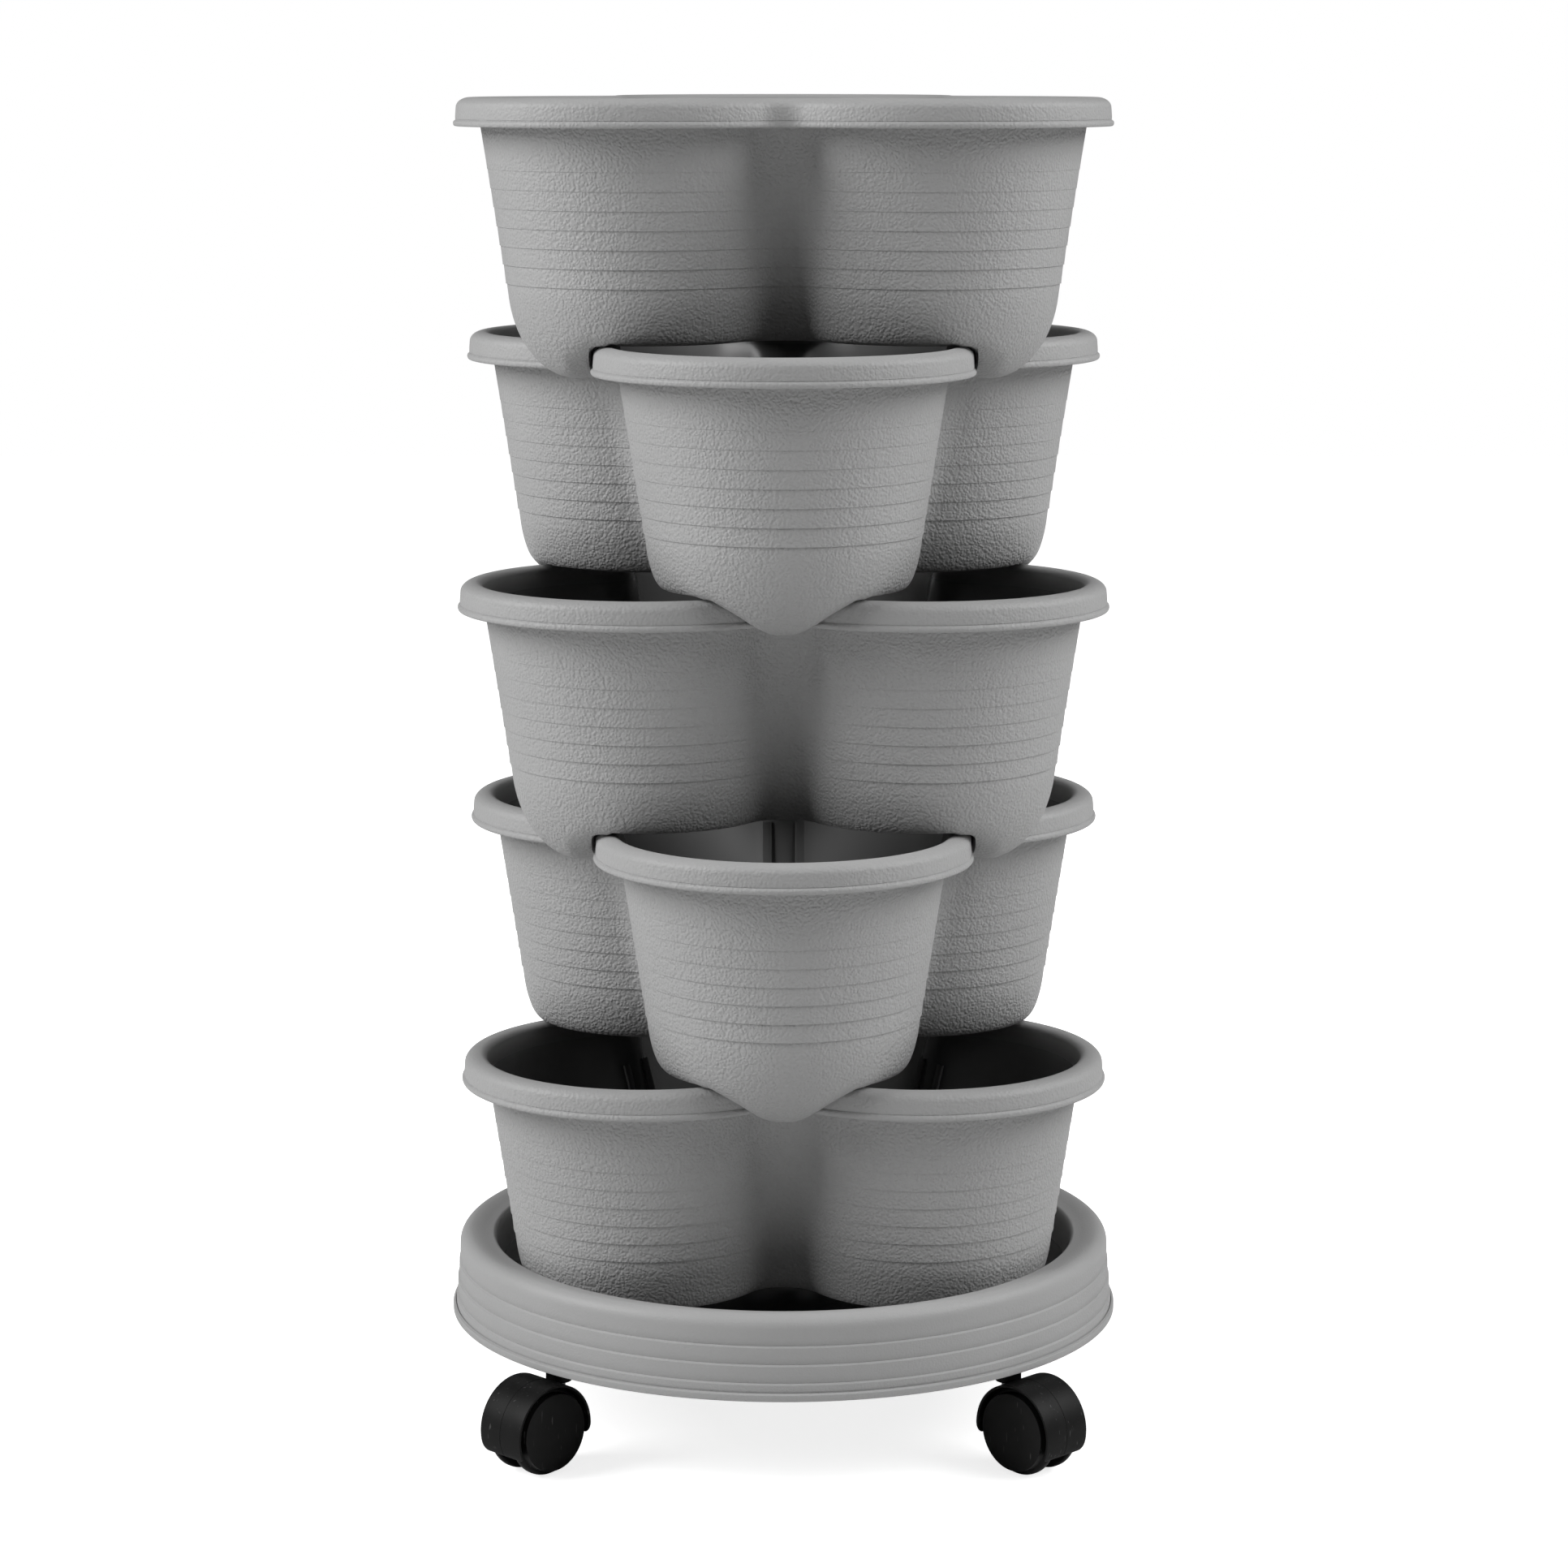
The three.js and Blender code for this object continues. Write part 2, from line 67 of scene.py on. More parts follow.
def feed(tree, node, inputs):
    """Sets a node's inputs. Each is a plain value or the socket that feeds it."""
    for key, value in inputs.items():
        if isinstance(value, bpy.types.NodeSocket):
            tree.links.new(value, node.inputs[key])
        else:
            node.inputs[key].default_value = value


def add_node(tree, kind, inputs=None, **settings):
    node = tree.nodes.new(kind)
    for name, value in settings.items():
        setattr(node, name, value)
    feed(tree, node, inputs or {})
    return node


def new_material(name):
    """A material, its tree, its Principled shader and the place on the object that is shaded."""
    material = bpy.data.materials.new(name)
    material.use_nodes = True
    tree = material.node_tree
    place = add_node(tree, "ShaderNodeTexCoord").outputs["Object"]
    return material, tree, tree.nodes["Principled BSDF"], place


def new_object(name, data):
    obj = bpy.data.objects.new(name, data)
    bpy.context.scene.collection.objects.link(obj)
    return obj


print("mid grey", [round(c, 3) for c in linear("#9b9b9b")[:3]])

# %% [markdown]
# The pots are injection moulded in grey polypropylene. The cavity side of the tool is etched with
# a leather grain, which breaks up the light softly. It is drawn 1.7 mm wide, a little coarser
# than the real one, so that it shows in the picture. The core side is plain, of the same grey
# and a little glossy; its darker colour here is painted shade, as the inside lies in shade. One
# material serves both sides: two values stored on the points of the mesh say how far a place is
# inside, which also sets its painted shade, and how deep its grain is.

# %% Polypropylene with a leather grain outside and a plain core side darkened by painted shade
blotch_mm, blotch_contrast = 60.0, 0.05
grained_roughness, roughness_spread, core_roughness = 0.55, 0.05, 0.24
cell_softness = 0.6
polypropylene_ior, polypropylene_specular = 1.49, 0.5


def moulded_polypropylene(name, outside, inside, grain_mm, grain_depth_mm):
    material, tree, surface, place = new_material(name)
    core_and_shade = add_node(tree, "ShaderNodeAttribute", attribute_name="inside").outputs["Fac"]
    grain = add_node(tree, "ShaderNodeAttribute", attribute_name="grain").outputs["Fac"]

    # Slow blotches, as the flow of the melt leaves them
    blotches = add_node(tree, "ShaderNodeTexNoise", {
        "Vector": place, "Scale": 1 / (blotch_mm * MM), "Detail": 3.0,
        "Roughness": 0.55}).outputs["Fac"]
    tint = add_node(tree, "ShaderNodeMapRange", {
        "Value": blotches, "To Min": 1 - blotch_contrast,
        "To Max": 1 + blotch_contrast}).outputs["Result"]
    outer = add_node(tree, "ShaderNodeMix", {
        0: 1.0, 6: linear(outside), 7: tint}, data_type="RGBA", blend_type="MULTIPLY").outputs[2]
    # The inside colour is painted shade: the core side is the same grey, drawn darker by the inside
    # value
    colour = add_node(tree, "ShaderNodeMix", {
        0: core_and_shade, 6: outer, 7: linear(inside)}, data_type="RGBA").outputs[2]

    # Worm-like grain: cells of the grain's width, bent by a finer noise
    bend = add_node(tree, "ShaderNodeTexNoise", {
        "Vector": place, "Scale": 1 / (2 * grain_mm * MM), "Detail": 1.0}).outputs["Color"]
    shift = add_node(tree, "ShaderNodeVectorMath", {0: bend, 3: grain_mm * MM}, operation="SCALE")
    bent = add_node(tree, "ShaderNodeVectorMath", {0: place, 1: shift.outputs[0]}, operation="ADD")
    cells = add_node(tree, "ShaderNodeTexVoronoi", {
        "Vector": bent.outputs[0], "Scale": 1 / (grain_mm * MM), "Smoothness": cell_softness},
        feature="SMOOTH_F1").outputs["Distance"]
    height = add_node(tree, "ShaderNodeMath", {0: cells, 1: grain}, operation="MULTIPLY").outputs[0]
    bump = add_node(tree, "ShaderNodeBump", {
        "Height": height, "Strength": 1.0, "Distance": grain_depth_mm * MM}, invert=True)

    # The grained side is matt, the core side has a soft shine
    matt = add_node(tree, "ShaderNodeMapRange", {
        "Value": blotches, "To Min": grained_roughness - roughness_spread,
        "To Max": grained_roughness + roughness_spread}).outputs["Result"]
    rough = add_node(tree, "ShaderNodeMix", {
        0: core_and_shade, 2: matt, 3: core_roughness}, data_type="FLOAT").outputs[0]
    feed(tree, surface, {
        "Base Color": colour, "Normal": bump.outputs["Normal"], "Roughness": rough,
        "IOR": polypropylene_ior, "Specular IOR Level": polypropylene_specular})
    return material


# Each second colour is painted shade for the inner surfaces, which are the same grey plastic
pot_plastic = moulded_polypropylene(
    "leather_grain_polypropylene", "#a4a4a4", "#646464", grain_mm=1.7, grain_depth_mm=0.64)
saucer_plastic = moulded_polypropylene(
    "satin_polypropylene", "#a4a4a4", "#6a6a6a", grain_mm=1.2, grain_depth_mm=0.14)
print("made", pot_plastic.name, "and", saucer_plastic.name)

# %% [markdown]
# The casters are nylon. The hood comes out of a spark-eroded tool, whose fine pits scatter the
# light to a matt black. The wheels are smoother, from their tool and from use. A thin layer of
# dust and a few pale scuffs, eight times as long as they are wide, keep the black from looking
# empty. The stem and the axle are zinc-plated steel pins, and faint lines of drawn wire run along
# the stem. The flow grid in each pot's floor is dark polypropylene, and shares the dusty finish.

# %% Black nylon, dark plastic and zinc-plated steel
dust_mm, dust_seen, dust_shades = 9.0, (0.35, 0.75), (0.85, 1.3)
scuff_mm, scuff_squeeze, scuff_strength, scuff_colour = 1.4, 0.12, 0.5, "#5a5a5a"
scuff_peaks = (0.7, 0.76)
polish_spread = 0.06
nylon_ior, nylon_specular = 1.53, 0.15
wire_line_mm, wire_line_squeeze = 0.4, 0.05
zinc_shine, zinc_dull = 0.28, 0.42


def dusty_plastic(name, colour, roughness, pit_mm, pit_depth_mm):
    material, tree, surface, place = new_material(name)
    pits = add_node(tree, "ShaderNodeTexNoise", {
        "Vector": place, "Scale": 1 / (pit_mm * MM), "Detail": 2.0}).outputs["Fac"]
    dust = add_node(tree, "ShaderNodeTexNoise", {
        "Vector": place, "Scale": 1 / (dust_mm * MM), "Detail": 4.0}).outputs["Fac"]
    shade = add_node(tree, "ShaderNodeMapRange", {
        "Value": dust, "From Min": dust_seen[0], "From Max": dust_seen[1],
        "To Min": dust_shades[0], "To Max": dust_shades[1]})
    dusty = add_node(tree, "ShaderNodeMix", {
        0: 1.0, 6: linear(colour), 7: shade.outputs["Result"]},
        data_type="RGBA", blend_type="MULTIPLY").outputs[2]

    # Only the highest peaks of a noise that is drawn out along the height become scuffs
    drawn_out = add_node(tree, "ShaderNodeMapping", {
        "Vector": place, "Scale": (1, 1, scuff_squeeze)}).outputs[0]
    marks = add_node(tree, "ShaderNodeTexNoise", {
        "Vector": drawn_out, "Scale": 1 / (scuff_mm * MM), "Detail": 1.0}).outputs["Fac"]
    scuffs = add_node(tree, "ShaderNodeMapRange", {
        "Value": marks, "From Min": scuff_peaks[0], "From Max": scuff_peaks[1],
        "To Max": scuff_strength}).outputs["Result"]
    worn = add_node(tree, "ShaderNodeMix", {
        0: scuffs, 6: dusty, 7: linear(scuff_colour)}, data_type="RGBA").outputs[2]
    polish = add_node(tree, "ShaderNodeMapRange", {
        "Value": dust, "To Min": roughness - polish_spread,
        "To Max": roughness + polish_spread}).outputs["Result"]
    bump = add_node(tree, "ShaderNodeBump", {
        "Height": pits, "Strength": 1.0, "Distance": pit_depth_mm * MM}).outputs["Normal"]
    feed(tree, surface, {
        "Base Color": worn, "Roughness": polish, "Normal": bump,
        "IOR": nylon_ior, "Specular IOR Level": nylon_specular})
    return material


def drawn_steel(name, colour):
    material, tree, surface, place = new_material(name)
    drawn_out = add_node(tree, "ShaderNodeMapping", {
        "Vector": place, "Scale": (1, 1, wire_line_squeeze)}).outputs[0]
    lines = add_node(tree, "ShaderNodeTexNoise", {
        "Vector": drawn_out, "Scale": 1 / (wire_line_mm * MM), "Detail": 2.0}).outputs["Fac"]
    polish = add_node(tree, "ShaderNodeMapRange", {
        "Value": lines, "To Min": zinc_shine, "To Max": zinc_dull}).outputs["Result"]
    feed(tree, surface, {"Base Color": linear(colour), "Roughness": polish, "Metallic": 1.0})
    return material


hood_nylon = dusty_plastic(
    "spark_textured_nylon", "#0f0f0f", roughness=0.52, pit_mm=0.5, pit_depth_mm=0.03)
wheel_nylon = dusty_plastic(
    "smooth_wheel_nylon", "#101010", roughness=0.42, pit_mm=0.9, pit_depth_mm=0.01)
grid_plastic = dusty_plastic(
    "dark_polypropylene", "#2c2c2c", roughness=0.45, pit_mm=0.7, pit_depth_mm=0.01)
pin_steel = drawn_steel("zinc_plated_steel", "#b9bbbe")
print("made", hood_nylon.name, wheel_nylon.name, grid_plastic.name, pin_steel.name)

# %% [markdown]
# Every level line of a pot is the same figure: three round lobes, joined by three hollow clefts.
# Each is an arc that touches its neighbours without a corner. The outline needs two radii only.
# All outlines carry the same count of points, so a list of outlines becomes a closed skin.
# Sizes here are in millimetres, and the last step scales them to metres.

# %% The three-lobed outline
lobe_count = 3
lobe_turn = 2 * math.pi / lobe_count
half_turn = lobe_turn / 2
lobe_offset = 90.0
lip_radius, lip_fillet = 106.7, 18.0
lobe_steps, cleft_steps = 64, 18

heading = np.repeat(math.pi / 2 + lobe_turn * np.arange(lobe_count), lobe_steps + cleft_steps)
share = np.tile(np.concatenate([
    np.arange(lobe_steps) / lobe_steps, np.arange(cleft_steps) / cleft_steps]), lobe_count)
is_cleft = np.tile(np.arange(lobe_steps + cleft_steps) >= lobe_steps, lobe_count)


def cleft_centre(radius, fillet):
    """Distance from the tower's axis to the centre of the hollow arc."""
    reach = radius + fillet
    return lobe_offset * math.cos(half_turn) + np.sqrt(
        reach ** 2 - (lobe_offset * math.sin(half_turn)) ** 2)


def trefoil(radius, fillet):
    """The outline's points, one row each. Radius and fillet are numbers, or one for each point."""
    centre = cleft_centre(radius, fillet)
    spread = np.arctan2(centre * math.sin(half_turn), centre * math.cos(half_turn) - lobe_offset)
    on_lobe = heading - spread + 2 * spread * share
    on_cleft = heading + spread + math.pi - 2 * (spread - half_turn) * share
    x = np.where(is_cleft,
                 centre * np.cos(heading + half_turn) + fillet * np.cos(on_cleft),
                 lobe_offset * np.cos(heading) + radius * np.cos(on_lobe))
    y = np.where(is_cleft,
                 centre * np.sin(heading + half_turn) + fillet * np.sin(on_cleft),
                 lobe_offset * np.sin(heading) + radius * np.sin(on_lobe))
    return np.stack([x, y], -1)


print("points in an outline", len(share), "reach of a lip", trefoil(lip_radius, lip_fillet).max(axis=0))

# %% [markdown]
# The wall leans evenly outwards from its foot to the lip. It isn't plain: seven fine steps run
# round it, a fifth of a millimetre at the top and half a millimetre lower down. Each one shows
# as a thin dark line, because its small ledge looks down over a fine groove. Real steps in the
# mesh catch that shade from every side, where a drawn line would not.

# %% The leaning wall and its seven steps
lip_height = 119.7
wall_foot_height = 21.7
wall_foot_radius, wall_foot_fillet = 76.0, 19.8
wall_top_radius, wall_top_fillet = 91.5, 29.0
pot_wall, pot_floor = 2.3, 2.6

step_count = 7
first_step_drop, step_pitch = 24.0, 10.6
top_step, foot_step = 0.19, 0.52
ledge_height, groove_share, wall_start = 0.15, 0.1, 1.5
# Values of (inside, grain): the core side's inside value gives it gloss and painted shade
cavity_side, shaded_core_side = (0.0, 1.0), (1.0, 0.0)

# One step from below: height in mm, inset as a share of the step's size, and the groove's share
step_profile = [(-0.5, 0.5, 0), (-0.35, 0.5, groove_share), (-0.05, 0.5, groove_share),
                (ledge_height, -0.7, 0), (ledge_height + 0.6, -0.45, 0)]


def wall_line(height):
    """Lobe radius and cleft fillet of the wall's outline at a height."""
    rise = (height - wall_foot_height) / (lip_height - wall_foot_height)
    return (wall_foot_radius + (wall_top_radius - wall_foot_radius) * rise,
            wall_foot_fillet + (wall_top_fillet - wall_foot_fillet) * rise)


def ring(points, height, inside, grain):
    """One level of the skin: its points in space, and the two values that the finish reads."""
    heights = np.broadcast_to(height, len(points))
    return np.column_stack([points, heights]), inside, grain


def wall_ring(height, inset=0.0, inside=0.0, grain=1.0):
    radius, fillet = wall_line(height)
    return ring(trefoil(radius - inset, fillet + inset), height, inside, grain)


def step_height(step):
    return lip_height - first_step_drop - step * step_pitch


def stepped_wall():
    """The outer wall from its foot up: between two steps the wall leans out a little extra."""
    rings = [wall_ring(wall_foot_height + wall_start)]
    for step in reversed(range(step_count)):
        size = foot_step + (top_step - foot_step) * (step_count - 1 - step) / (step_count - 1)
        rings += [wall_ring(step_height(step) + rise, (inset + groove) * size)
                  for rise, inset, groove in step_profile]
    return rings


print("step heights", [round(step_height(step), 1) for step in range(step_count)])

# %% [markdown]
# Under each lobe the bottom corner runs on down as a chin. It hangs outside the rim of the pot
# below and locks the two together. Its lower edge is a bell curve, rounded over, and its
# inner face stands one millimetre off that rim. The skin is followed inwards from the foot of
# the wall: down the rounded corner, over the bell, up the inner face where it meets the line of
# the lower rim, and on across the flat floor. Where the path meets that line is found by test
# points, so the inner face follows the lower rim exactly.

# %% The rounded corner, the chins and the floor
chin_depth, chin_half_width, chin_clearance = 20.0, 46.0, 1.0
chin_round, tip_round, tip_half_width = 9.0, 0.5, 22.0
corner_reach = 25.065
end_radius, end_fillet = 30.0, 70.0
grid_recess_radius, drain_radius, grid_ledge_height = 30.8, 26.5, 1.1
fill_width, fill_drop = 9.0, 5.8
corner_rings, fill_rings, floor_rings, test_points = 26, 9, 6, 500
face_travel = 0.003


def corner_path(travel, inset):
    """Plan points and heights at a travel of 0, the wall's foot, to 1, the corner's lowest line,
    and on to 2, the last outline before the drain."""
    angle = np.clip(travel, 0, 1) * math.pi / 2
    height = wall_foot_height - (wall_foot_height + chin_depth - inset) * np.sin(angle)
    radius, fillet = wall_line(height)
    reach = inset + corner_reach * (1 - np.cos(angle))
    beyond = np.clip(travel - 1, 0, 1)
    radius = (radius - reach) * (1 - beyond) + end_radius * beyond
    fillet = (fillet + reach) * (1 - beyond) + end_fillet * beyond
    return trefoil(radius, fillet), height


def fold(points):
    """Distance across and along the nearest lobe's own line, from the tower's axis."""
    angle = np.arctan2(points[:, 1], points[:, 0]) - math.pi / 2
    angle = (angle + half_turn) % lobe_turn - half_turn
    size = np.hypot(points[:, 0], points[:, 1])
    return size * np.sin(angle), size * np.cos(angle)


def off_lower_lip(points):
    """How far points lie outside the lip of the pot below, which is turned half a lobe."""
    across, along = fold(points)
    across = np.abs(across)
    lobe = np.array([lobe_offset * math.sin(half_turn), lobe_offset * math.cos(half_turn)])
    cleft = np.array([0.0, cleft_centre(lip_radius, lip_fillet)])
    side = (lobe[0] - cleft[0]) * (along - cleft[1]) - (lobe[1] - cleft[1]) * (across - cleft[0])
    from_lobe = np.hypot(across - lobe[0], along - lobe[1]) - lip_radius
    from_cleft = lip_fillet - np.hypot(across - cleft[0], along - cleft[1])
    return np.where(side < 0, from_cleft, from_lobe)


def soft_max(a, b, blend):
    """The larger of two heights, with the corner where they cross rounded over."""
    close = np.clip(blend - np.abs(a - b), 0, None)
    return np.maximum(a, b) + close ** 2 / (4 * blend)


def bell(across):
    """Height of a chin's lower edge at a distance across its lobe."""
    return -chin_depth * (1 + np.cos(math.pi * np.clip(np.abs(across) / chin_half_width, 0, 1))) / 2


def corner_blend(across):
    """The lower edge is rounded over more and more from the chin's tip to its sides."""
    return tip_round + chin_round * np.clip(np.abs(across) / tip_half_width, 0, 1) ** 2


def filled(points, inset, floor):
    """Height of the floor, which comes down in a round beside a chin, over the rim below."""
    nearness = (off_lower_lip(points) - chin_clearance - inset) / fill_width + 1
    drop = np.maximum(bell(fold(points)[0]), -fill_drop)
    return floor + drop * (1 - np.sqrt(1 - np.clip(nearness, 0, 1) ** 2))


def underside(inset, floor):
    """Rings from the foot of the wall to the last outline, for the outer or the inner skin."""
    drop = wall_foot_height + chin_depth - inset
    first = math.asin((wall_foot_height - floor) / drop) / (math.pi / 2)
    tests = np.linspace(first, 2, test_points)
    off_lip = np.array([
        off_lower_lip(corner_path(np.full(len(share), t), inset)[0]) - chin_clearance - inset
        for t in tests])
    meets = tests[np.argmax(off_lip < 0, axis=0)]
    fill_ends = np.maximum(tests[np.argmax(off_lip < -fill_width, axis=0)], meets + 2 * face_travel)
    rings = []
    for part in np.linspace(0, 1, corner_rings):
        points, height = corner_path(meets * part, inset)
        across = fold(points)[0]
        rings.append((points, soft_max(height, floor + bell(across), corner_blend(across))))
    start = meets + face_travel
    travels = [start + (fill_ends - start) * part ** 2 for part in np.linspace(0, 1, fill_rings)]
    travels += [fill_ends + (2 - fill_ends) * part for part in np.linspace(0, 1, floor_rings)[1:]]
    for travel in travels:
        points, height = corner_path(travel, inset)
        blend = corner_blend(fold(points)[0])
        rings.append((points, soft_max(height, filled(points, inset, floor), blend)))
    return rings


probe = underside(0.0, 0.0)
print("lowest point of a chin", round(min(height.min() for _, height in probe), 2))

# %% [markdown]
# The rim is rolled: the wall turns out over a hollow, comes down as a skirt and ends in a small
# bead. It keeps the same distance from its own lip all round, so only one profile is needed,
# and each point of it gives one outline. Small arcs stand for the edge radii of the mould,
# because an edge without a radius never catches a highlight.

# %% The rolled rim
rim_height, rim_wall = 16.0, 2.4
crown = lip_height + rim_height
ceiling = crown - rim_wall
hollow_inner, hollow_outer, hollow_centre, hollow_round = 94.6, 103.4, 100.0, (2.9, 4.0)
bead_round, neck_inset, skirt_inset = (1.2, 1.7), 1.45, 1.25
lip_round, lip_edge_gap = 0.4, 0.5
shoulder_centre, shoulder_round, roll_round = 97.1, (8.0, 5.6), (5.0, 3.8)

# Rows of (outwards, upwards) steps in millimetres, for the small forms of the rim
hollow_corner = [(0.0, -1.2), (0.6, -0.3), (1.6, 0.0)]
hollow_foot = [(-0.1, 2.0), (0.0, 0.3)]
bead_groove = [(0.25, 3.5), (0.0, 3.65), (0.0, 3.8)]
skirt_rise = [(0.0, 4.0), (0.0, 5.4), (-0.15, 8.0)]


def arc(centre, radii, start, end, steps):
    """Points of an ellipse's arc in the plane of radius and height, angles in degrees."""
    angles = np.radians(np.linspace(start, end, steps + 1))
    return [(centre[0] + radii[0] * math.cos(a), centre[1] + radii[1] * math.sin(a)) for a in angles]


def beside(radius, height, rows):
    """Points that stand off from a place by rows of (outwards, upwards) steps."""
    return [(radius + outwards, height + upwards) for outwards, upwards in rows]


rim_hollow = [
    *beside(hollow_inner, ceiling, hollow_corner),
    *arc((hollow_centre, ceiling - hollow_round[1]), hollow_round, 90, 0, 5),
    *beside(hollow_outer, lip_height, hollow_foot)]
rim_outside = [
    *arc((hollow_outer + lip_edge_gap, lip_height + lip_round), (lip_round, lip_round), 180, 270, 2),
    *arc((lip_radius - bead_round[0], lip_height + bead_round[1]), bead_round, -90, 40, 9),
    *beside(lip_radius - neck_inset, lip_height, bead_groove),
    *beside(lip_radius - skirt_inset, lip_height, skirt_rise)]
shoulder = arc((shoulder_centre, crown - shoulder_round[1]), shoulder_round, 0, 90, 12)
roll = arc((shoulder_centre, crown - roll_round[1]), roll_round, 90, 180, 8)


def beside_lip(radius):
    """The fillet that keeps an outline of this radius at one distance from the lip all round."""
    return lip_fillet + lip_radius - radius


def rim_ring(radius, height, inside=0.0, grain=0.6):
    return ring(trefoil(radius, beside_lip(radius)), height, inside, grain)


print("profile points of the rim", len(rim_hollow) + len(rim_outside) + len(shoulder) + len(roll))

# %% [markdown]
# Now the skin of a pot is put together in the order in which a finger would follow it: from the
# drain hole out under the floor, over a chin, up the wall, round the rim, down inside and back
# across the floor to the drain. The last ring joins the first, so the skin is closed like a
# bent tube and has no edge, no seam and no pole.

# %% The skin of one pot
outline_angle = np.arctan2(*trefoil(wall_foot_radius, wall_foot_fillet).T[::-1])
closing_rings, pot_sharp_degrees = 4, 38
drain_grain, upper_grain, shoulder_grain, roll_grain = 0.3, 0.8, 0.6, 0.05
shoulder_fade, roll_painted_shade = 0.5, 0.04
plain_heights, upper_heights = (101.0, 106.0, 112.0), (118.0, 124.0, 130.0)
inner_heights = (100.0, 80.0, 60.0, 40.0, 28.0)

# Behind the rim: height in mm, and how far the finish has changed to the core side's, with its painted
# shade deepening further down
mouth = [(129.5, 0.5), (127.0, 0.72), (124.0, 0.88), (120.5, 0.97), (116.0, 1.0)]


def circle_ring(radius, height, inside, grain):
    """A round level with as many points as an outline has."""
    points = radius * np.column_stack([np.cos(outline_angle), np.sin(outline_angle)])
    return ring(points, height, inside, grain)


def between(first, last, count):
    """Rings between two rings, without them."""
    parts = np.linspace(0, 1, count + 2)[1:-1]
    return [(first[0] * (1 - t) + last[0] * t, first[1], first[2]) for t in parts]


def pot_rings():
    below = [ring(*level, *cavity_side) for level in underside(0.0, 0.0)]
    within = [ring(*level, *shaded_core_side) for level in underside(pot_wall, pot_floor)]
    drain = circle_ring(drain_radius, 0.0, 0.0, drain_grain)
    rings = [drain, *between(drain, below[-1], closing_rings), *below[::-1]]
    rings += stepped_wall()
    rings += [wall_ring(height) for height in plain_heights]
    rings += [wall_ring(height, grain=upper_grain) for height in upper_heights]
    rings += [rim_ring(*point) for point in rim_hollow + rim_outside]
    for index, point in enumerate(shoulder):
        rings.append(rim_ring(*point, grain=shoulder_grain - shoulder_fade * index / len(shoulder)))
    # Round the roll into the pot, the painted shade grows a little at each ring
    for index, point in enumerate(roll[1:]):
        rings.append(rim_ring(*point, inside=roll_painted_shade * index, grain=roll_grain))
    roll_radius, roll_foot = roll[-1]
    for height, core_and_shade in mouth:
        rise = (height - lip_height) / (roll_foot - lip_height)
        radius, fillet = wall_line(height)
        inner = trefoil(*[a + (b - a) * max(rise, 0) ** 2 for a, b in (
            (radius - pot_wall, roll_radius), (fillet + pot_wall, beside_lip(roll_radius)))])
        rings.append(ring(inner, height, core_and_shade, 0.0))
    rings += [wall_ring(height, pot_wall, *shaded_core_side) for height in inner_heights]
    recess = circle_ring(grid_recess_radius, pot_floor, *shaded_core_side)
    rings += [*within, *between(within[-1], recess, closing_rings), recess]
    rings += [circle_ring(radius, grid_ledge_height, *shaded_core_side)
              for radius in (grid_recess_radius, drain_radius)]
    return rings


def bands(count, levels, closed=False):
    """Rows of four point numbers, a face each, that join every loop of points to the next."""
    along = np.arange(count)
    after = (along + 1) % count
    rows = []
    for level in range(levels if closed else levels - 1):
        low, high = level * count, (level + 1) % levels * count
        rows.append(np.column_stack([low + along, low + after, high + after, high + along]))
    return np.concatenate(rows).tolist()


def store_finish(mesh, inside, grain):
    """Stores the two values that the finish reads, one of each for every point. The inside value also
    sets the painted shade.
    """
    for name, values in (("inside", inside), ("grain", grain)):
        mesh.attributes.new(name, "FLOAT", "POINT").data.foreach_set("value", values)


def smooth(mesh, sharp_degrees):
    """Smooth shading that breaks only at real edges."""
    mesh.shade_smooth()
    mesh.set_sharp_from_angle(angle=math.radians(sharp_degrees))
    return mesh


def skin_mesh(name, rings, sharp_degrees):
    """Joins rings of equal count into a closed skin."""
    levels, inside, grain = zip(*rings)
    count = len(levels[0])
    mesh = bpy.data.meshes.new(name)
    mesh.from_pydata((np.concatenate(levels) * MM).tolist(), [], bands(count, len(rings), closed=True))
    store_finish(mesh, np.repeat(inside, count), np.repeat(grain, count))
    return smooth(mesh, sharp_degrees)


pot_skin = skin_mesh("pot_skin", pot_rings(), pot_sharp_degrees)
print("faces of a pot", len(pot_skin.polygons))

# %% [markdown]
# On both sides of each cleft a thin rib stands inside the wall and stiffens it. The ribs repeat
# round the pot, so Geometry Nodes make them: one plate is swept along the lean of the wall, put
# on six points, turned by the number of its cleft and moved aside by its number in the pair.
# Their root lies inside the thickness of the wall, as if both were filled in one shot.

# %% A tree for the ribs
rib_thickness, rib_stand, rib_root, rib_edge_round = 1.6, 2.6, 3.2, 0.4
rib_spread, rib_top_drop, rib_foot_height = 10.0, 14.0, 16.0
ribs_per_cleft = 2


def new_tree(name, inputs):
    """A geometry tree with a named input for each size, and its group input and output nodes."""
    tree = bpy.data.node_groups.new(name, "GeometryNodeTree")
    tree.is_modifier = True
    tree.interface.new_socket("Geometry", in_out="INPUT", socket_type="NodeSocketGeometry")
    for label, kind in inputs:
        tree.interface.new_socket(label, in_out="INPUT", socket_type="NodeSocket" + kind)
    tree.interface.new_socket("Geometry", in_out="OUTPUT", socket_type="NodeSocketGeometry")
    return tree, add_node(tree, "NodeGroupInput").outputs


def end_tree(tree, geometry, material):
    """Realize Instances and Set Material close every tree, so that the result is one real mesh."""
    real = add_node(tree, "GeometryNodeRealizeInstances", {"Geometry": geometry}).outputs[0]
    finished = add_node(tree, "GeometryNodeSetMaterial", {"Geometry": real, "Material": material})
    add_node(tree, "NodeGroupOutput", {"Geometry": finished.outputs[0]})
    return tree


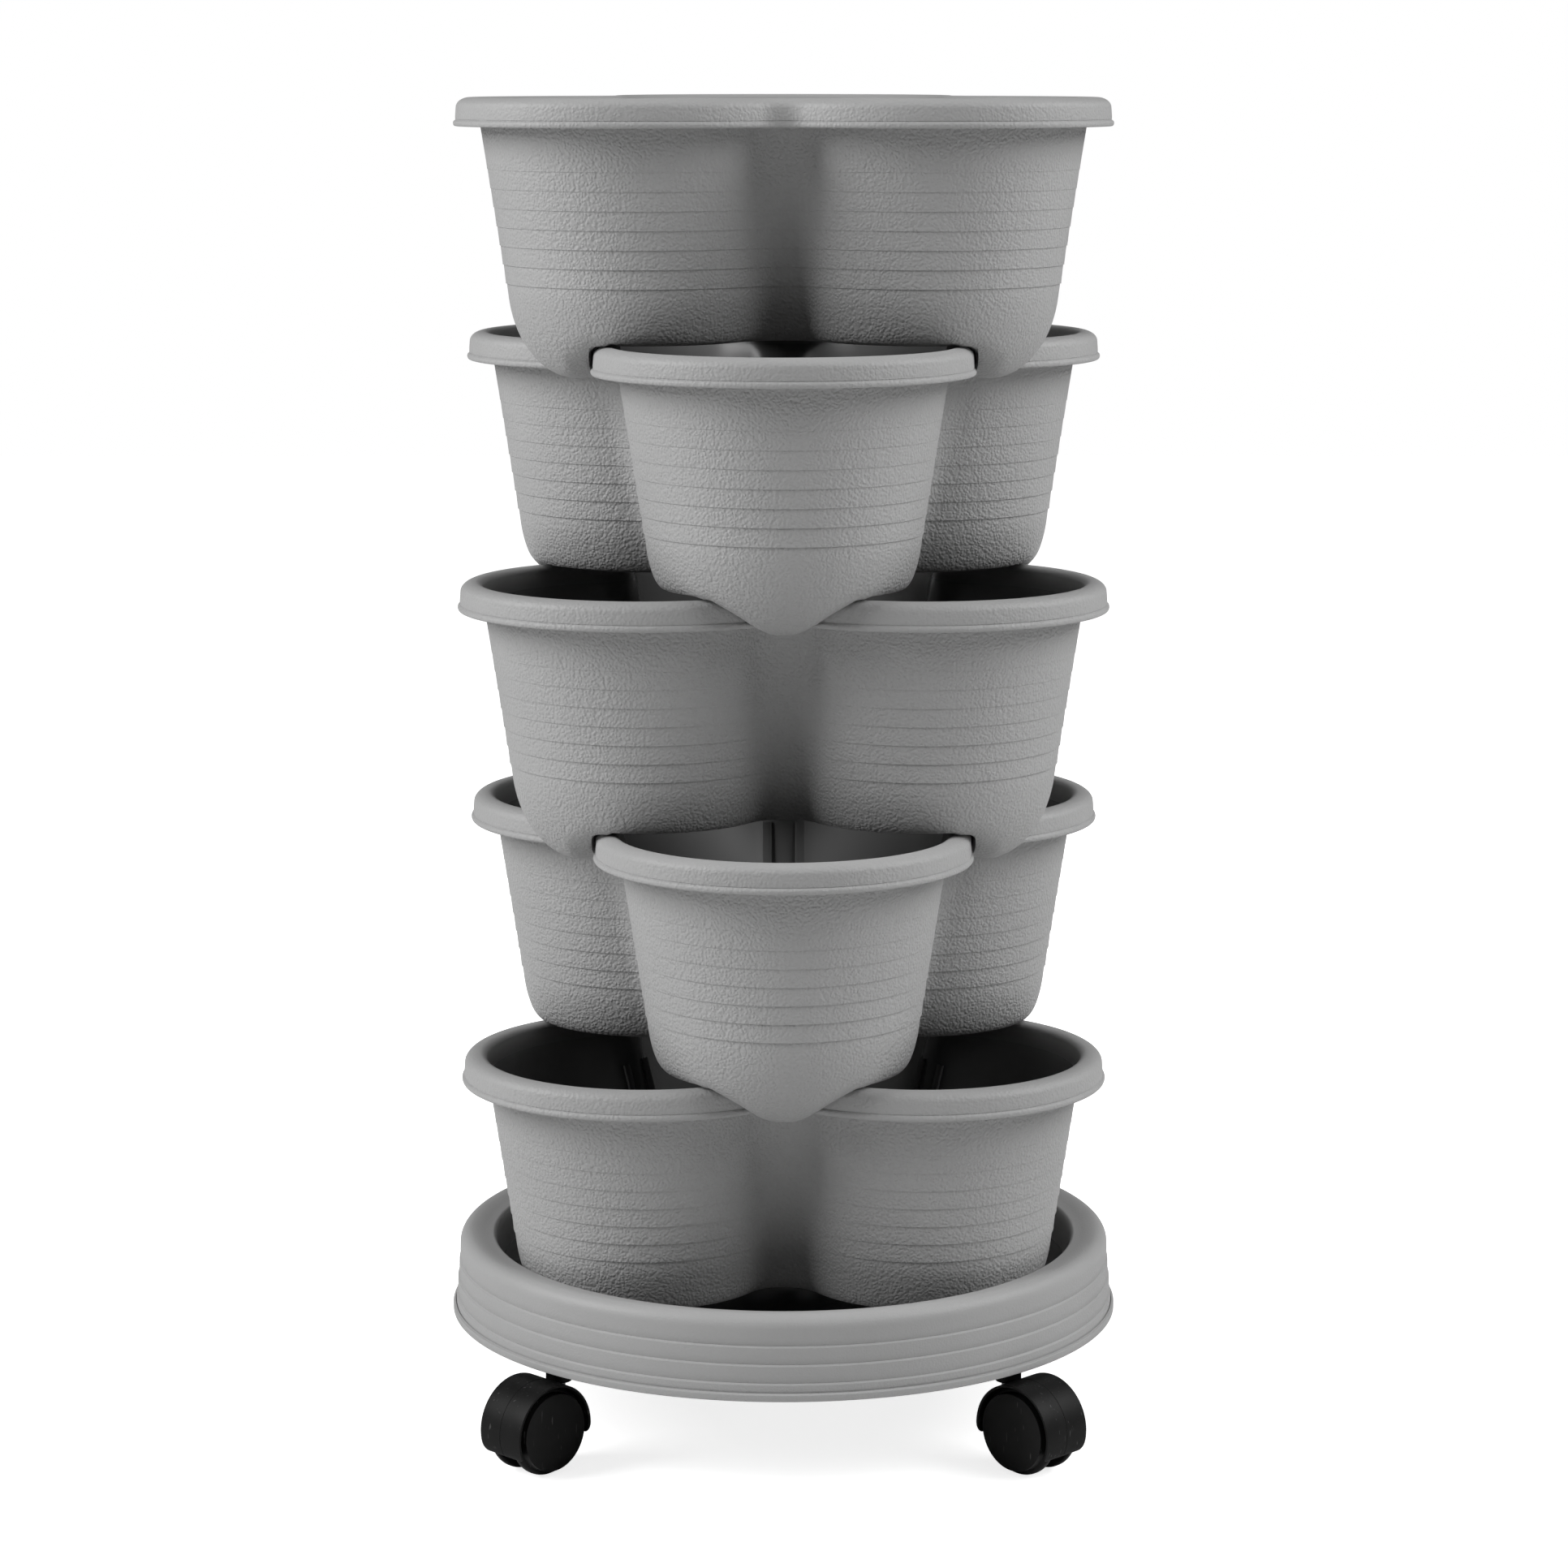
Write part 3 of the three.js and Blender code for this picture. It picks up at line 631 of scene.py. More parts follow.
def plain_mesh(holder, sharp_degrees, material=None):
    """The holder's mesh with its modifiers applied and one material. The holder is removed."""
    mesh = bpy.data.meshes.new_from_object(
        holder.evaluated_get(bpy.context.evaluated_depsgraph_get()))
    mesh.name = holder.name
    bpy.data.objects.remove(holder)
    material = material or [m for m in mesh.materials if m][0]
    mesh.materials.clear()
    mesh.materials.append(material)
    mesh.polygons.foreach_set("material_index", [0] * len(mesh.polygons))
    return smooth(mesh, sharp_degrees)


def grown_mesh(name, start, tree, sizes, sharp_degrees):
    """Runs a tree on a mesh, with its inputs set by identifier, and keeps the plain result."""
    holder = new_object(name, start)
    modifier = holder.modifiers.new(name, "NODES")
    modifier.node_group = tree
    for socket in tree.interface.items_tree:
        if socket.in_out == "INPUT" and socket.name in sizes:
            modifier[socket.identifier] = sizes[socket.name]
    return plain_mesh(holder, sharp_degrees)


def rib_tree(material):
    tree, size = new_tree("cleft_ribs", [
        ("Foot", "Vector"), ("Top", "Vector"), ("Thickness", "Float"), ("Depth", "Float"),
        ("Spread", "Float"), ("Clefts", "Int"), ("Ribs per Cleft", "Int")])
    lean = add_node(tree, "GeometryNodeCurvePrimitiveLine", {
        "Start": size["Foot"], "End": size["Top"]}).outputs[0]
    plate = add_node(tree, "GeometryNodeCurvePrimitiveQuadrilateral", {
        "Width": size["Depth"], "Height": size["Thickness"]}).outputs[0]
    plate = add_node(tree, "GeometryNodeFilletCurve", {
        "Curve": plate, "Radius": rib_edge_round * MM, "Count": 3}, mode="POLY").outputs[0]
    rib = add_node(tree, "GeometryNodeCurveToMesh", {
        "Curve": lean, "Profile Curve": plate, "Fill Caps": True}).outputs[0]
    # The ribs get the full inside value, so they take the core side's painted shade
    rib = add_node(tree, "GeometryNodeStoreNamedAttribute", {
        "Geometry": rib, "Name": "inside", "Value": 1.0}).outputs[0]
    count = add_node(tree, "ShaderNodeMath", {
        0: size["Clefts"], 1: size["Ribs per Cleft"]}, operation="MULTIPLY").outputs[0]
    points = add_node(tree, "GeometryNodePoints", {"Count": count}).outputs[0]
    index = add_node(tree, "GeometryNodeInputIndex").outputs[0]
    pair = add_node(tree, "ShaderNodeMath", {
        0: index, 1: size["Ribs per Cleft"]}, operation="DIVIDE").outputs[0]
    cleft = add_node(tree, "ShaderNodeMath", {0: pair}, operation="FLOOR").outputs[0]
    turn = add_node(tree, "ShaderNodeMath", {0: 2 * math.pi, 1: size["Clefts"]}, operation="DIVIDE")
    angle = add_node(tree, "ShaderNodeMath", {0: cleft, 1: turn.outputs[0]}, operation="MULTIPLY")
    turned_by = add_node(tree, "ShaderNodeCombineXYZ", {"Z": angle.outputs[0]}).outputs[0]
    placed = add_node(tree, "GeometryNodeInstanceOnPoints", {
        "Points": points, "Instance": rib, "Rotation": turned_by}).outputs[0]
    within = add_node(tree, "ShaderNodeMath", {
        0: index, 1: size["Ribs per Cleft"]}, operation="FLOORED_MODULO").outputs[0]
    side = add_node(tree, "ShaderNodeMath", {0: within, 1: 2.0, 2: -1.0}, operation="MULTIPLY_ADD")
    aside = add_node(tree, "ShaderNodeMath", {
        0: side.outputs[0], 1: size["Spread"]}, operation="MULTIPLY").outputs[0]
    offset = add_node(tree, "ShaderNodeCombineXYZ", {"X": aside}).outputs[0]
    spread = add_node(tree, "GeometryNodeTranslateInstances", {
        "Instances": placed, "Translation": offset}).outputs[0]
    joined = add_node(tree, "GeometryNodeJoinGeometry", {"Geometry": size["Geometry"]})
    tree.links.new(spread, joined.inputs["Geometry"])
    return end_tree(tree, joined.outputs[0], material)


def rib_middle(height):
    """The middle of a rib's depth at a height, on the line of the cleft that faces the front."""
    radius, fillet = wall_line(height)
    face = cleft_centre(radius, fillet) - fillet - pot_wall
    return (0.0, -(face + (rib_root - rib_stand) / 2) * MM, height * MM)


ribbed_pot = grown_mesh("ribbed_pot", pot_skin, rib_tree(pot_plastic), {
    "Foot": rib_middle(rib_foot_height), "Top": rib_middle(lip_height - rib_top_drop),
    "Thickness": rib_thickness * MM, "Depth": (rib_stand + rib_root) * MM,
    "Spread": rib_spread * MM, "Clefts": lobe_count, "Ribs per Cleft": ribs_per_cleft},
    pot_sharp_degrees)
print("faces with ribs", len(ribbed_pot.polygons), [m.name for m in ribbed_pot.materials])

# %% [markdown]
# All five pots come out of the same mould. The frame says where each base lies and which way it
# faces: the odd tiers reach further to the front, because one of their lobes points there.

# %% The five pots
tiers = ["bottom", "lower", "middle", "upper", "top"]


def piece(name, mesh, matrix, body, slot, *nodes):
    """A finished piece at rest, with its place in its mesh, riding on a body of the frame."""
    placed = mesh.copy()
    placed.transform(matrix)
    obj = new_object(name, placed)
    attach(obj, body)
    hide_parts(*nodes)


for tier in tiers:
    low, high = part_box(tier + "_pot")
    base_lift = low[2] + chin_depth * MM
    facing = math.pi if -low[1] > high[1] else 0.0
    place = Matrix.Translation((0, 0, base_lift)) @ Matrix.Rotation(facing, 4, "Z")
    piece(tier + "_pot_moulding", ribbed_pot, place, tier + "_pot", "pot_plastic", tier + "_pot")
    print(tier, "pot stands at", round(base_lift, 4))

# %% [markdown]
# The saucer and the wheels are turned shapes: one profile goes round an axis. A single tree makes
# them both. The profile arrives as a mesh of edges, becomes a curve, and is swept along a circle.
# Points that meet on the axis are merged, so no pole stays open.

# %% A tree for turned pieces
path_radius = 0.1
merge_mm = 0.002


def turning_tree(material):
    tree, size = new_tree("turned_" + material.name, [("Path Radius", "Float"), ("Steps", "Int")])
    circle = add_node(tree, "GeometryNodeCurvePrimitiveCircle", {
        "Resolution": size["Steps"], "Radius": size["Path Radius"]}).outputs[0]
    level = add_node(tree, "GeometryNodeSetCurveNormal", {"Curve": circle}, mode="Z_UP").outputs[0]
    profile = add_node(tree, "GeometryNodeMeshToCurve", {"Mesh": size["Geometry"]}).outputs[0]
    skin = add_node(tree, "GeometryNodeCurveToMesh", {"Curve": level, "Profile Curve": profile})
    merged = add_node(tree, "GeometryNodeMergeByDistance", {
        "Geometry": skin.outputs[0], "Distance": merge_mm * MM}).outputs[0]
    outwards = add_node(tree, "GeometryNodeFlipFaces", {"Mesh": merged}).outputs[0]
    return end_tree(tree, outwards, material)


def turned(name, profile, steps, material, sharp_degrees):
    """Turns a closed profile of (radius, height, inside, grain) rows round the Z axis."""
    count = len(profile)
    wire = bpy.data.meshes.new(name + "_profile")
    wire.from_pydata([(radius * MM - path_radius, -height * MM, 0)
                      for radius, height, _, _ in profile],
                     [(i, (i + 1) % count) for i in range(count)], [])
    store_finish(wire, [row[2] for row in profile], [row[3] for row in profile])
    mesh = grown_mesh(name, wire, turning_tree(material), {
        "Path Radius": path_radius, "Steps": steps}, sharp_degrees)
    print_measures(mesh)
    return mesh


def print_measures(mesh):
    """Prints the span and the volume. A negative volume would mean faces that point inwards."""
    points = np.array([v.co for v in mesh.vertices]) / MM
    work = bmesh.new()
    work.from_mesh(mesh)
    volume = work.calc_volume(signed=True) / MM ** 3
    work.free()
    print(mesh.name, "spans", points.min(axis=0).round(1), points.max(axis=0).round(1),
          "and encloses", round(volume), "mm3")


def marked(points, inside=0.0, grain=1.0):
    """Adds the two values that the finish reads to (radius, height) points."""
    return [(radius, height, inside, grain) for radius, height in points]

# %% [markdown]
# The saucer is one deep bowl with a hollow, folded-over rim. From the foot up: a bead at the lip,
# a skirt with three small ledges that catch the light, a rounded shoulder, a broad crown that
# falls a little inwards, the inner wall and the flat floor, on which the bottom pot's chins stand.

# %% The saucer
saucer_low, saucer_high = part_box("saucer")
lip_lift = saucer_low[2] / MM
saucer_lip_radius = saucer_high[0] / MM
saucer_height = (saucer_high[2] - saucer_low[2]) / MM
saucer_wall = 2.5
bead_stand, skirt_lean, shoulder_height = 1.2, 3.0, 34.0
crown_width, crown_fall, crown_round, edge_round, floor_reach = 21.2, 2.4, 7.5, 2.6, 10.3
floor_underside, floor_middle = 2.8, (60.0, 120.0)
floor_top = floor_underside + saucer_wall
wall_lean, wall_base, wall_bend = 5.2, 8.0, 20.0
ledge_count, ledge_drop, ledge_pitch = 3, 4.8, 10.2
foot_round, saucer_bead_round, saucer_bead_height = 0.6, 0.7, 3.4
crown_inset, inner_edge_drop = 0.2, 3.0
saucer_steps, saucer_sharp_degrees = 192, 32

# Rows of (outwards, upwards) steps again, from the place that each form belongs to
foot_edge = [(0.0, 0.3), (0.3, 0.0)]
saucer_bead_groove = [(0.25, 4.2), (-0.15, 4.45), (-0.1, 4.9)]
ledge_form = [(0.12, -5.0), (0.04, -0.3), (0.0, 0.0), (-0.8, 0.8), (-0.95, 0.95), (-0.8, 1.2)]
crown_slope = [(-2.5, -0.08 * crown_fall), (-6.5, -0.45 * crown_fall)]
floor_corner_below = [(-2.0, 0.0), (2.4, 0.6), (5.0, 3.0)]
floor_corner_above = [(3.4, 3.4), (2.2, 1.2), (0.0, 0.2), (-2.5, 0.0)]
shoulder_inside = [(-4.5, 3.2), (-3.0, -2.0)]

skirt_radius = saucer_lip_radius - bead_stand
shoulder_radius = skirt_radius - skirt_lean
edge_radius = shoulder_radius - crown_width
edge_height = saucer_height - crown_fall - edge_round
floor_radius = edge_radius - floor_reach


def inner_wall(height):
    """Radius of the inner wall, which leans in towards the floor."""
    base, base_radius = floor_top + wall_base, floor_radius + wall_lean
    return base_radius + (edge_radius - base_radius) * (height - base) / (edge_height - base)


def skirt_at(height):
    return shoulder_radius + skirt_lean * (shoulder_height - height) / shoulder_height


def saucer_outside():
    """The foot, the bead, its groove and the skirt with its ledges, from below."""
    points = [*beside(skirt_radius - saucer_wall, 0.0, foot_edge),
              *arc((saucer_lip_radius - foot_round, foot_round),
                   (foot_round, foot_round), 270, 360, 3),
              *arc((saucer_lip_radius - saucer_bead_round, saucer_bead_height),
                   (saucer_bead_round, saucer_bead_round), 0, 80, 4),
              *beside(skirt_radius, 0.0, saucer_bead_groove)]
    for ledge in reversed(range(ledge_count)):
        height = shoulder_height - ledge_drop - ledge * ledge_pitch
        points += beside(skirt_at(height), height, ledge_form)
    return points + [(shoulder_radius - 0.1, shoulder_height)]


def saucer_underside():
    """From the axis out under the floor, up in the hollow rim, and down behind the skirt."""
    return [(0.0, floor_underside), *[(radius, floor_underside) for radius in floor_middle],
            *beside(floor_radius, floor_underside, floor_corner_below),
            (inner_wall(wall_bend) + saucer_wall, wall_bend),
            (edge_radius + saucer_wall, edge_height - 2.0),
            (edge_radius + edge_round + 2.0, saucer_height - crown_fall - saucer_wall),
            (shoulder_radius - crown_round - 1.0, saucer_height - saucer_wall),
            *beside(shoulder_radius, shoulder_height, shoulder_inside),
            (skirt_radius - saucer_wall, 4.0)]


def saucer_inside():
    """Down the inner wall, round its foot and across the floor to the axis."""
    return [(inner_wall(wall_bend), wall_bend), (floor_radius + wall_lean, floor_top + wall_base),
            *beside(floor_radius, floor_top, floor_corner_above),
            *[(radius, floor_top) for radius in reversed(floor_middle)], (0.0, floor_top)]


crown_radius, upper_wall = shoulder_radius - crown_round, edge_height - inner_edge_drop
saucer_profile = [
    *marked(saucer_underside(), grain=0.4),
    *marked(saucer_outside()),
    *marked(arc((crown_radius, saucer_height - crown_round),
                (crown_round - crown_inset, crown_round), 0, 90, 12), grain=0.7),
    *marked(beside(crown_radius, saucer_height, crown_slope), grain=0.4),
    *marked(arc((edge_radius + edge_round, edge_height),
                (edge_round, edge_round), 90, 180, 6), grain=0.2),
    # Down the inner wall and over the floor the inside value gives painted shade, more towards the
    # bottom
    *marked([(inner_wall(upper_wall), upper_wall)], inside=0.6, grain=0.2),
    *marked(saucer_inside(), inside=1.0, grain=0.1)]
saucer_shape = turned(
    "saucer_shape", saucer_profile, saucer_steps, saucer_plastic, saucer_sharp_degrees)
piece("saucer_moulding", saucer_shape, Matrix.Translation((0, 0, saucer_low[2])),
      "saucer", "saucer_plastic", "saucer")

# %% [markdown]
# The flow grid in each floor is a disc with six radial slots. The slots are cut, not drawn: the
# tree puts a cutter on each of six points round the axis and takes them all from the disc.

# %% The flow grids
grid_radius, slot_inner, slot_outer, slot_width, slot_count = 30.5, 8.0, 23.0, 3.2, 6
grid_steps, grid_sharp_degrees = 96, 30


def grid_tree(material):
    tree, size = new_tree("slotted_disc", [
        ("Radius", "Float"), ("Thickness", "Float"), ("Slots", "Int"), ("Slot Length", "Float"),
        ("Slot Width", "Float"), ("Slot Middle", "Float")])
    disc = add_node(tree, "GeometryNodeMeshCylinder", {
        "Vertices": grid_steps, "Radius": size["Radius"],
        "Depth": size["Thickness"]}).outputs["Mesh"]
    deep = add_node(tree, "ShaderNodeMath", {0: size["Thickness"], 1: 3.0}, operation="MULTIPLY")
    box = add_node(tree, "ShaderNodeCombineXYZ", {
        "X": size["Slot Length"], "Y": size["Slot Width"], "Z": deep.outputs[0]}).outputs[0]
    cutter = add_node(tree, "GeometryNodeMeshCube", {"Size": box}).outputs["Mesh"]
    points = add_node(tree, "GeometryNodePoints", {"Count": size["Slots"]}).outputs[0]
    index = add_node(tree, "GeometryNodeInputIndex").outputs[0]
    turn = add_node(tree, "ShaderNodeMath", {0: 2 * math.pi, 1: size["Slots"]}, operation="DIVIDE")
    angle = add_node(tree, "ShaderNodeMath", {0: index, 1: turn.outputs[0]}, operation="MULTIPLY")
    turned_by = add_node(tree, "ShaderNodeCombineXYZ", {"Z": angle.outputs[0]}).outputs[0]
    placed = add_node(tree, "GeometryNodeInstanceOnPoints", {
        "Points": points, "Instance": cutter, "Rotation": turned_by}).outputs[0]
    out = add_node(tree, "ShaderNodeCombineXYZ", {"X": size["Slot Middle"]}).outputs[0]
    moved = add_node(tree, "GeometryNodeTranslateInstances", {
        "Instances": placed, "Translation": out}).outputs[0]
    cut = add_node(tree, "GeometryNodeMeshBoolean", {
        "Mesh 1": disc, "Mesh 2": moved}, operation="DIFFERENCE", solver="EXACT").outputs[0]
    return end_tree(tree, cut, material)


grid_low, grid_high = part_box("bottom_flow_grid")
grid_disc = grown_mesh("grid_disc", bpy.data.meshes.new("grid_start"), grid_tree(grid_plastic), {
    "Radius": grid_radius * MM, "Thickness": grid_high[2] - grid_low[2], "Slots": slot_count,
    "Slot Length": (slot_outer - slot_inner) * MM, "Slot Width": slot_width * MM,
    "Slot Middle": (slot_outer + slot_inner) / 2 * MM}, grid_sharp_degrees)
for tier in tiers:
    low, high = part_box(tier + "_flow_grid")
    piece(tier + "_grid_disc", grid_disc, Matrix.Translation((0, 0, (low[2] + high[2]) / 2)),
          tier + "_pot", "grid_plastic", tier + "_flow_grid")
print("faces of a grid", len(grid_disc.polygons))

# %% [markdown]
# A twin-wheel caster has two plain discs on one axle, either side of a web, under a hood that
# covers their top half. The wheel's face is a flat disc. It stands out from a deep shoulder,
# which rolls over into the tread and stays dark under the hood.

# %% The wheels
wheel_radius, wheel_width, wheel_face_wall = 25.0, 8.2, 2.0
web_half_width, seat_gap, axle_radius = 6.7, 0.3, 3.0
bore_radius = axle_radius + seat_gap
bore_depth = wheel_width - wheel_face_wall
face_radius, face_middle, wheel_face = 21.8, 12.0, 9.6
bore_edge, tread_round, tread_edge, step_corner = 0.4, 1.3, 0.3, 0.3
tread_end, wheel_shoulder_foot = 2.2, 2.6
wheel_shoulder = (wheel_radius - face_radius - step_corner, 2.6)
wheel_steps, wheel_sharp_degrees = 96, 40

# Rows of (outwards, upwards) steps from the edge of the face, which stands out and is rounded
face_edge = [(0.2, -4.0), (0.1, -0.7), (-0.05, -0.2), (-0.5, 0.0)]

wheel_profile = marked([
    (0.0, bore_depth), (bore_radius, bore_depth), (bore_radius, bore_edge),
    (bore_radius + bore_edge, 0.0), (wheel_radius - tread_round - tread_edge, 0.0),
    *arc((wheel_radius - tread_round, tread_round), (tread_round, tread_round), 280, 360, 5),
    (wheel_radius, tread_end),
    *arc((face_radius + step_corner, wheel_shoulder_foot), wheel_shoulder, 0, 85, 9),
    *beside(face_radius, wheel_face, face_edge), (face_middle, wheel_face), (0.0, wheel_face)])
wheel_shape = turned("wheel_shape", wheel_profile, wheel_steps, wheel_nylon, wheel_sharp_degrees)

# %% [markdown]
# The hood is one moulding: a shell over the wheels, the web between them, and a neck that takes
# the stem. The shell is swept round the axle in code, because its ends change on the way: they
# curl in towards the tread and their corners are rounded off. A parting line runs along its
# middle. The web is a flat outline with a small bevel, and a boolean joins all three and cuts
# the holes for the stem and the axle.

# %% The hoods
trail = 17.0
hood_radius, hood_wall, hood_half_width = 26.7, 1.3, 16.6
hood_start, hood_end, hood_steps = -27.0, 193.0, 84
hood_edge_round, hood_side_share, flat_half_width = 0.6, 0.35, 6.0
groove_depth, groove_half_widths = 0.16, (0.35, 0.12)
curl_length, curl_depth, corner_cut, tread_gap = 6.5, 0.9, 3.4, 0.3
end_degrees = (0.3, 0.9, 1.6, 3.6, 5.0, 6.4, 7.8)
web_foot_radius, web_bevel, web_end_degrees, web_steps, web_foot_steps = 16.0, 0.4, 1.0, 72, 40
neck_radius, neck_fillet, neck_bevel, neck_sink = 7.0, 0.5, 0.3, 3.6
neck_steps, hole_steps, stem_overrun, hood_sharp_degrees = 64, 48, 5.0, 32


def hood_section(curl, cut):
    """Closed loop of (across, radius) points: the outside from left to right, then back inside."""
    half = hood_half_width - cut
    top = hood_radius - curl
    wide, narrow = groove_half_widths
    edge = arc((half - hood_edge_round, top - hood_edge_round),
               (hood_edge_round, hood_edge_round), -20, 90, 8)
    right = [*edge, (flat_half_width, top), (wide, top), (narrow, top - groove_depth)]
    outer = [(-across, radius) for across, radius in right] + right[::-1]
    shrink = (half - hood_wall * hood_side_share) / half
    lowest = wheel_radius + tread_gap
    inner = [(across * shrink, max(min(radius, top) - hood_wall, lowest)) for across, radius in outer]
    return outer + inner[::-1]


def on_hood(angle, radius, across):
    """A point of the hood at an angle round the axle."""
    return (trail + radius * math.cos(angle), across, wheel_radius + radius * math.sin(angle))


def hood_shell():
    """Sections set round the axle, closer together near both ends, where the shell curls in."""
    angles = np.linspace(hood_start, hood_end, hood_steps + 1)
    near_ends = [edge + sign * step for edge, sign in ((hood_start, 1), (hood_end, -1))
                 for step in end_degrees]
    spine = np.unique(np.radians(np.concatenate([angles, near_ends])))
    points = []
    for angle in spine:
        to_end = min(angle - spine[0], spine[-1] - angle) * hood_radius
        closeness = max(0.0, 1.0 - to_end / curl_length)
        fall = 1.0 - math.sqrt(1.0 - closeness ** 2)
        section = hood_section(curl_depth * fall, corner_cut * fall)
        points += [on_hood(angle, radius, across) for across, radius in section]
    count = len(section)
    last = len(points) - count
    faces = bands(count, len(spine))
    for i in range(count // 2 - 1):
        j = count - 1 - i
        faces += [(i, i + 1, j - 1, j), (last + i, last + j, last + j - 1, last + i + 1)]
    return points, faces


def capped(points, count):
    """A closed body of the points, of which every count make one loop."""
    total = len(points)
    caps = [list(range(count)), list(reversed(range(total - count, total)))]
    return points, caps + bands(count, total // count)


def web_plate():
    """A crescent between the shell and the web's foot, in four levels that bevel its edges."""
    start, end = math.radians(hood_start + web_end_degrees), math.radians(hood_end - web_end_degrees)
    outline = [(angle, hood_radius - hood_wall / 2) for angle in np.linspace(start, end, web_steps)]
    outline += [(angle, web_foot_radius)
                for angle in np.linspace(end, start + 2 * math.pi, web_foot_steps)]
    half = web_half_width
    levels = [(-half, web_bevel), (web_bevel - half, 0.0), (half - web_bevel, 0.0), (half, web_bevel)]
    return capped([on_hood(angle, radius - inset, across)
                   for across, inset in levels for angle, radius in outline], len(outline))


def closed_mesh(name, parts):
    """One mesh of several closed bodies, with all faces turned outwards."""
    points, faces = [], []
    for part_points, part_faces in parts:
        faces += [[i + len(points) for i in face] for face in part_faces]
        points += part_points
    mesh = bpy.data.meshes.new(name)
    mesh.from_pydata((np.array(points) * MM).tolist(), [], faces)
    work = bmesh.new()
    work.from_mesh(mesh)
    bmesh.ops.recalc_face_normals(work, faces=work.faces)
    work.to_mesh(mesh)
    work.free()
    return mesh


def upright_bar(rows, steps):
    """A closed round bar on the swivel axis, from (radius, height) rows."""
    turns = 2 * math.pi * np.arange(steps) / steps
    return capped([(radius * math.cos(turn), radius * math.sin(turn), height)
                   for radius, height in rows for turn in turns], steps)


def axle_bar(radius, half_length, steps):
    turns = 2 * math.pi * np.arange(steps) / steps
    return capped([on_hood(turn, radius, across)
                   for across in (-half_length, half_length) for turn in turns], steps)


def neck():
    """Rows of the neck from below: its foot flares a little, and its top edge is bevelled."""
    foot = wheel_radius + hood_radius - neck_sink
    rows = [(neck_radius + neck_fillet * (1 - math.sin(a)), foot + neck_fillet * (1 - math.cos(a)))
            for a in np.radians(np.linspace(0, 90, 7))]
    return rows + [(neck_radius, lip_lift - neck_bevel), (neck_radius - neck_bevel, lip_lift)]


def cut_out(name, start, tool, material):
    """Joins the bodies of a mesh, cuts another mesh out of it and returns the plain result."""
    holder, cutter = new_object(name, start), new_object(name + "_tool", tool)
    modifier = holder.modifiers.new("cut", "BOOLEAN")
    modifier.object = cutter
    modifier.operation = "DIFFERENCE"
    modifier.solver = "EXACT"
    modifier.use_self = True
    mesh = plain_mesh(holder, hood_sharp_degrees, material)
    bpy.data.objects.remove(cutter)
    return mesh


stem_low, stem_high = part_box("front_left_stem")
stem_hole = (stem_high[0] - stem_low[0]) / 2 / MM + seat_gap
hood_parts = closed_mesh("hood_parts", [
    hood_shell(), web_plate(), upright_bar(neck(), neck_steps)])
hood_holes = closed_mesh("hood_holes", [
    upright_bar([(stem_hole, stem_low[2] / MM - seat_gap),
                 (stem_hole, lip_lift + stem_overrun)], hole_steps),
    axle_bar(bore_radius, hood_half_width, hole_steps)])
hood_shape = cut_out("hood_shape", hood_parts, hood_holes, hood_nylon)
print("faces of a hood", len(hood_shape.polygons))

# %% [markdown]
# The frame tells where each caster stands: its stem is the swivel axis, and the line from the
# stem to the axle is the way in which its wheels trail.

# %% The four casters
corners = ["front_left", "front_right", "rear_left", "rear_right"]


def middle(node):
    low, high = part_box(node)
    return (Vector(low) + Vector(high)) / 2


for corner in corners:
    pivot = middle(corner + "_stem")
    trailing = middle(corner + "_axle") - pivot
    swivel = (Matrix.Translation((pivot.x, pivot.y, 0))
              @ Matrix.Rotation(math.atan2(trailing.y, trailing.x), 4, "Z"))
    piece(corner + "_hood_moulding", hood_shape, swivel, corner + "_caster", "caster_plastic",
          corner + "_hood")
    for side, direction in (("left", 1), ("right", -1)):
        wheel = corner + "_" + side + "_wheel"
        place = (swivel
                 @ Matrix.Translation((trail * MM, direction * (web_half_width + seat_gap) * MM,
                                       wheel_radius * MM))
                 @ Matrix.Rotation(-direction * math.pi / 2, 4, "X"))
        piece(wheel + "_disc", wheel_shape, place, wheel, "wheel_plastic", wheel)
    for node, material in (("stem", pin_steel), ("axle", pin_steel), ("socket", grid_plastic)):
        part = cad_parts[corner + "_" + node]
        part.data.materials.clear()
        part.data.materials.append(material)
print("casters", corners)

# %% [markdown]
# The camera stands where the photographer stood, a little above the rim of the top pot and 2.4
# metres away. Its place comes from a perspective fit of the rims. A small shift keeps the tower
# in the middle of the picture, as the crop of the photograph does.

# %% The camera
camera_distance, camera_height, camera_tilt = 2.4193, 0.7805, 82.767
camera_data = bpy.data.cameras.new("camera")
camera_data.lens, camera_data.sensor_width = 96.85, 36.0
camera_data.shift_x, camera_data.shift_y = 0.0003, -0.1179
camera = new_object("camera", camera_data)
camera.location = (0.0, -camera_distance, camera_height)
camera.rotation_euler = (math.radians(camera_tilt), 0.0, 0.0)
bpy.context.scene.camera = camera
print("camera at", tuple(round(c, 3) for c in camera.location))

# %% [markdown]
# A studio table: a pale floor, two broad soft boxes high up on the left and on the right, and a
# weak wide one over the front. So the rims' tops catch the light, and the walls darken evenly
# into the clefts. The floor glows a little for the camera alone, and more with distance, so that
# it runs into the white world without a horizon, and still keeps the tower's shadow.

# %% The floor, the world and the lamps
floor_reach_m, paper_colour, white = 6.0, "#e2e2e2", "#ffffff"
glow_start, glow_end, glow_under_tower, paper_roughness, paper_specular = 0.2, 0.9, 0.8, 0.9, 0.1
ambient_light = 0.05
tower_middle = (0.0, 0.0, 0.42)

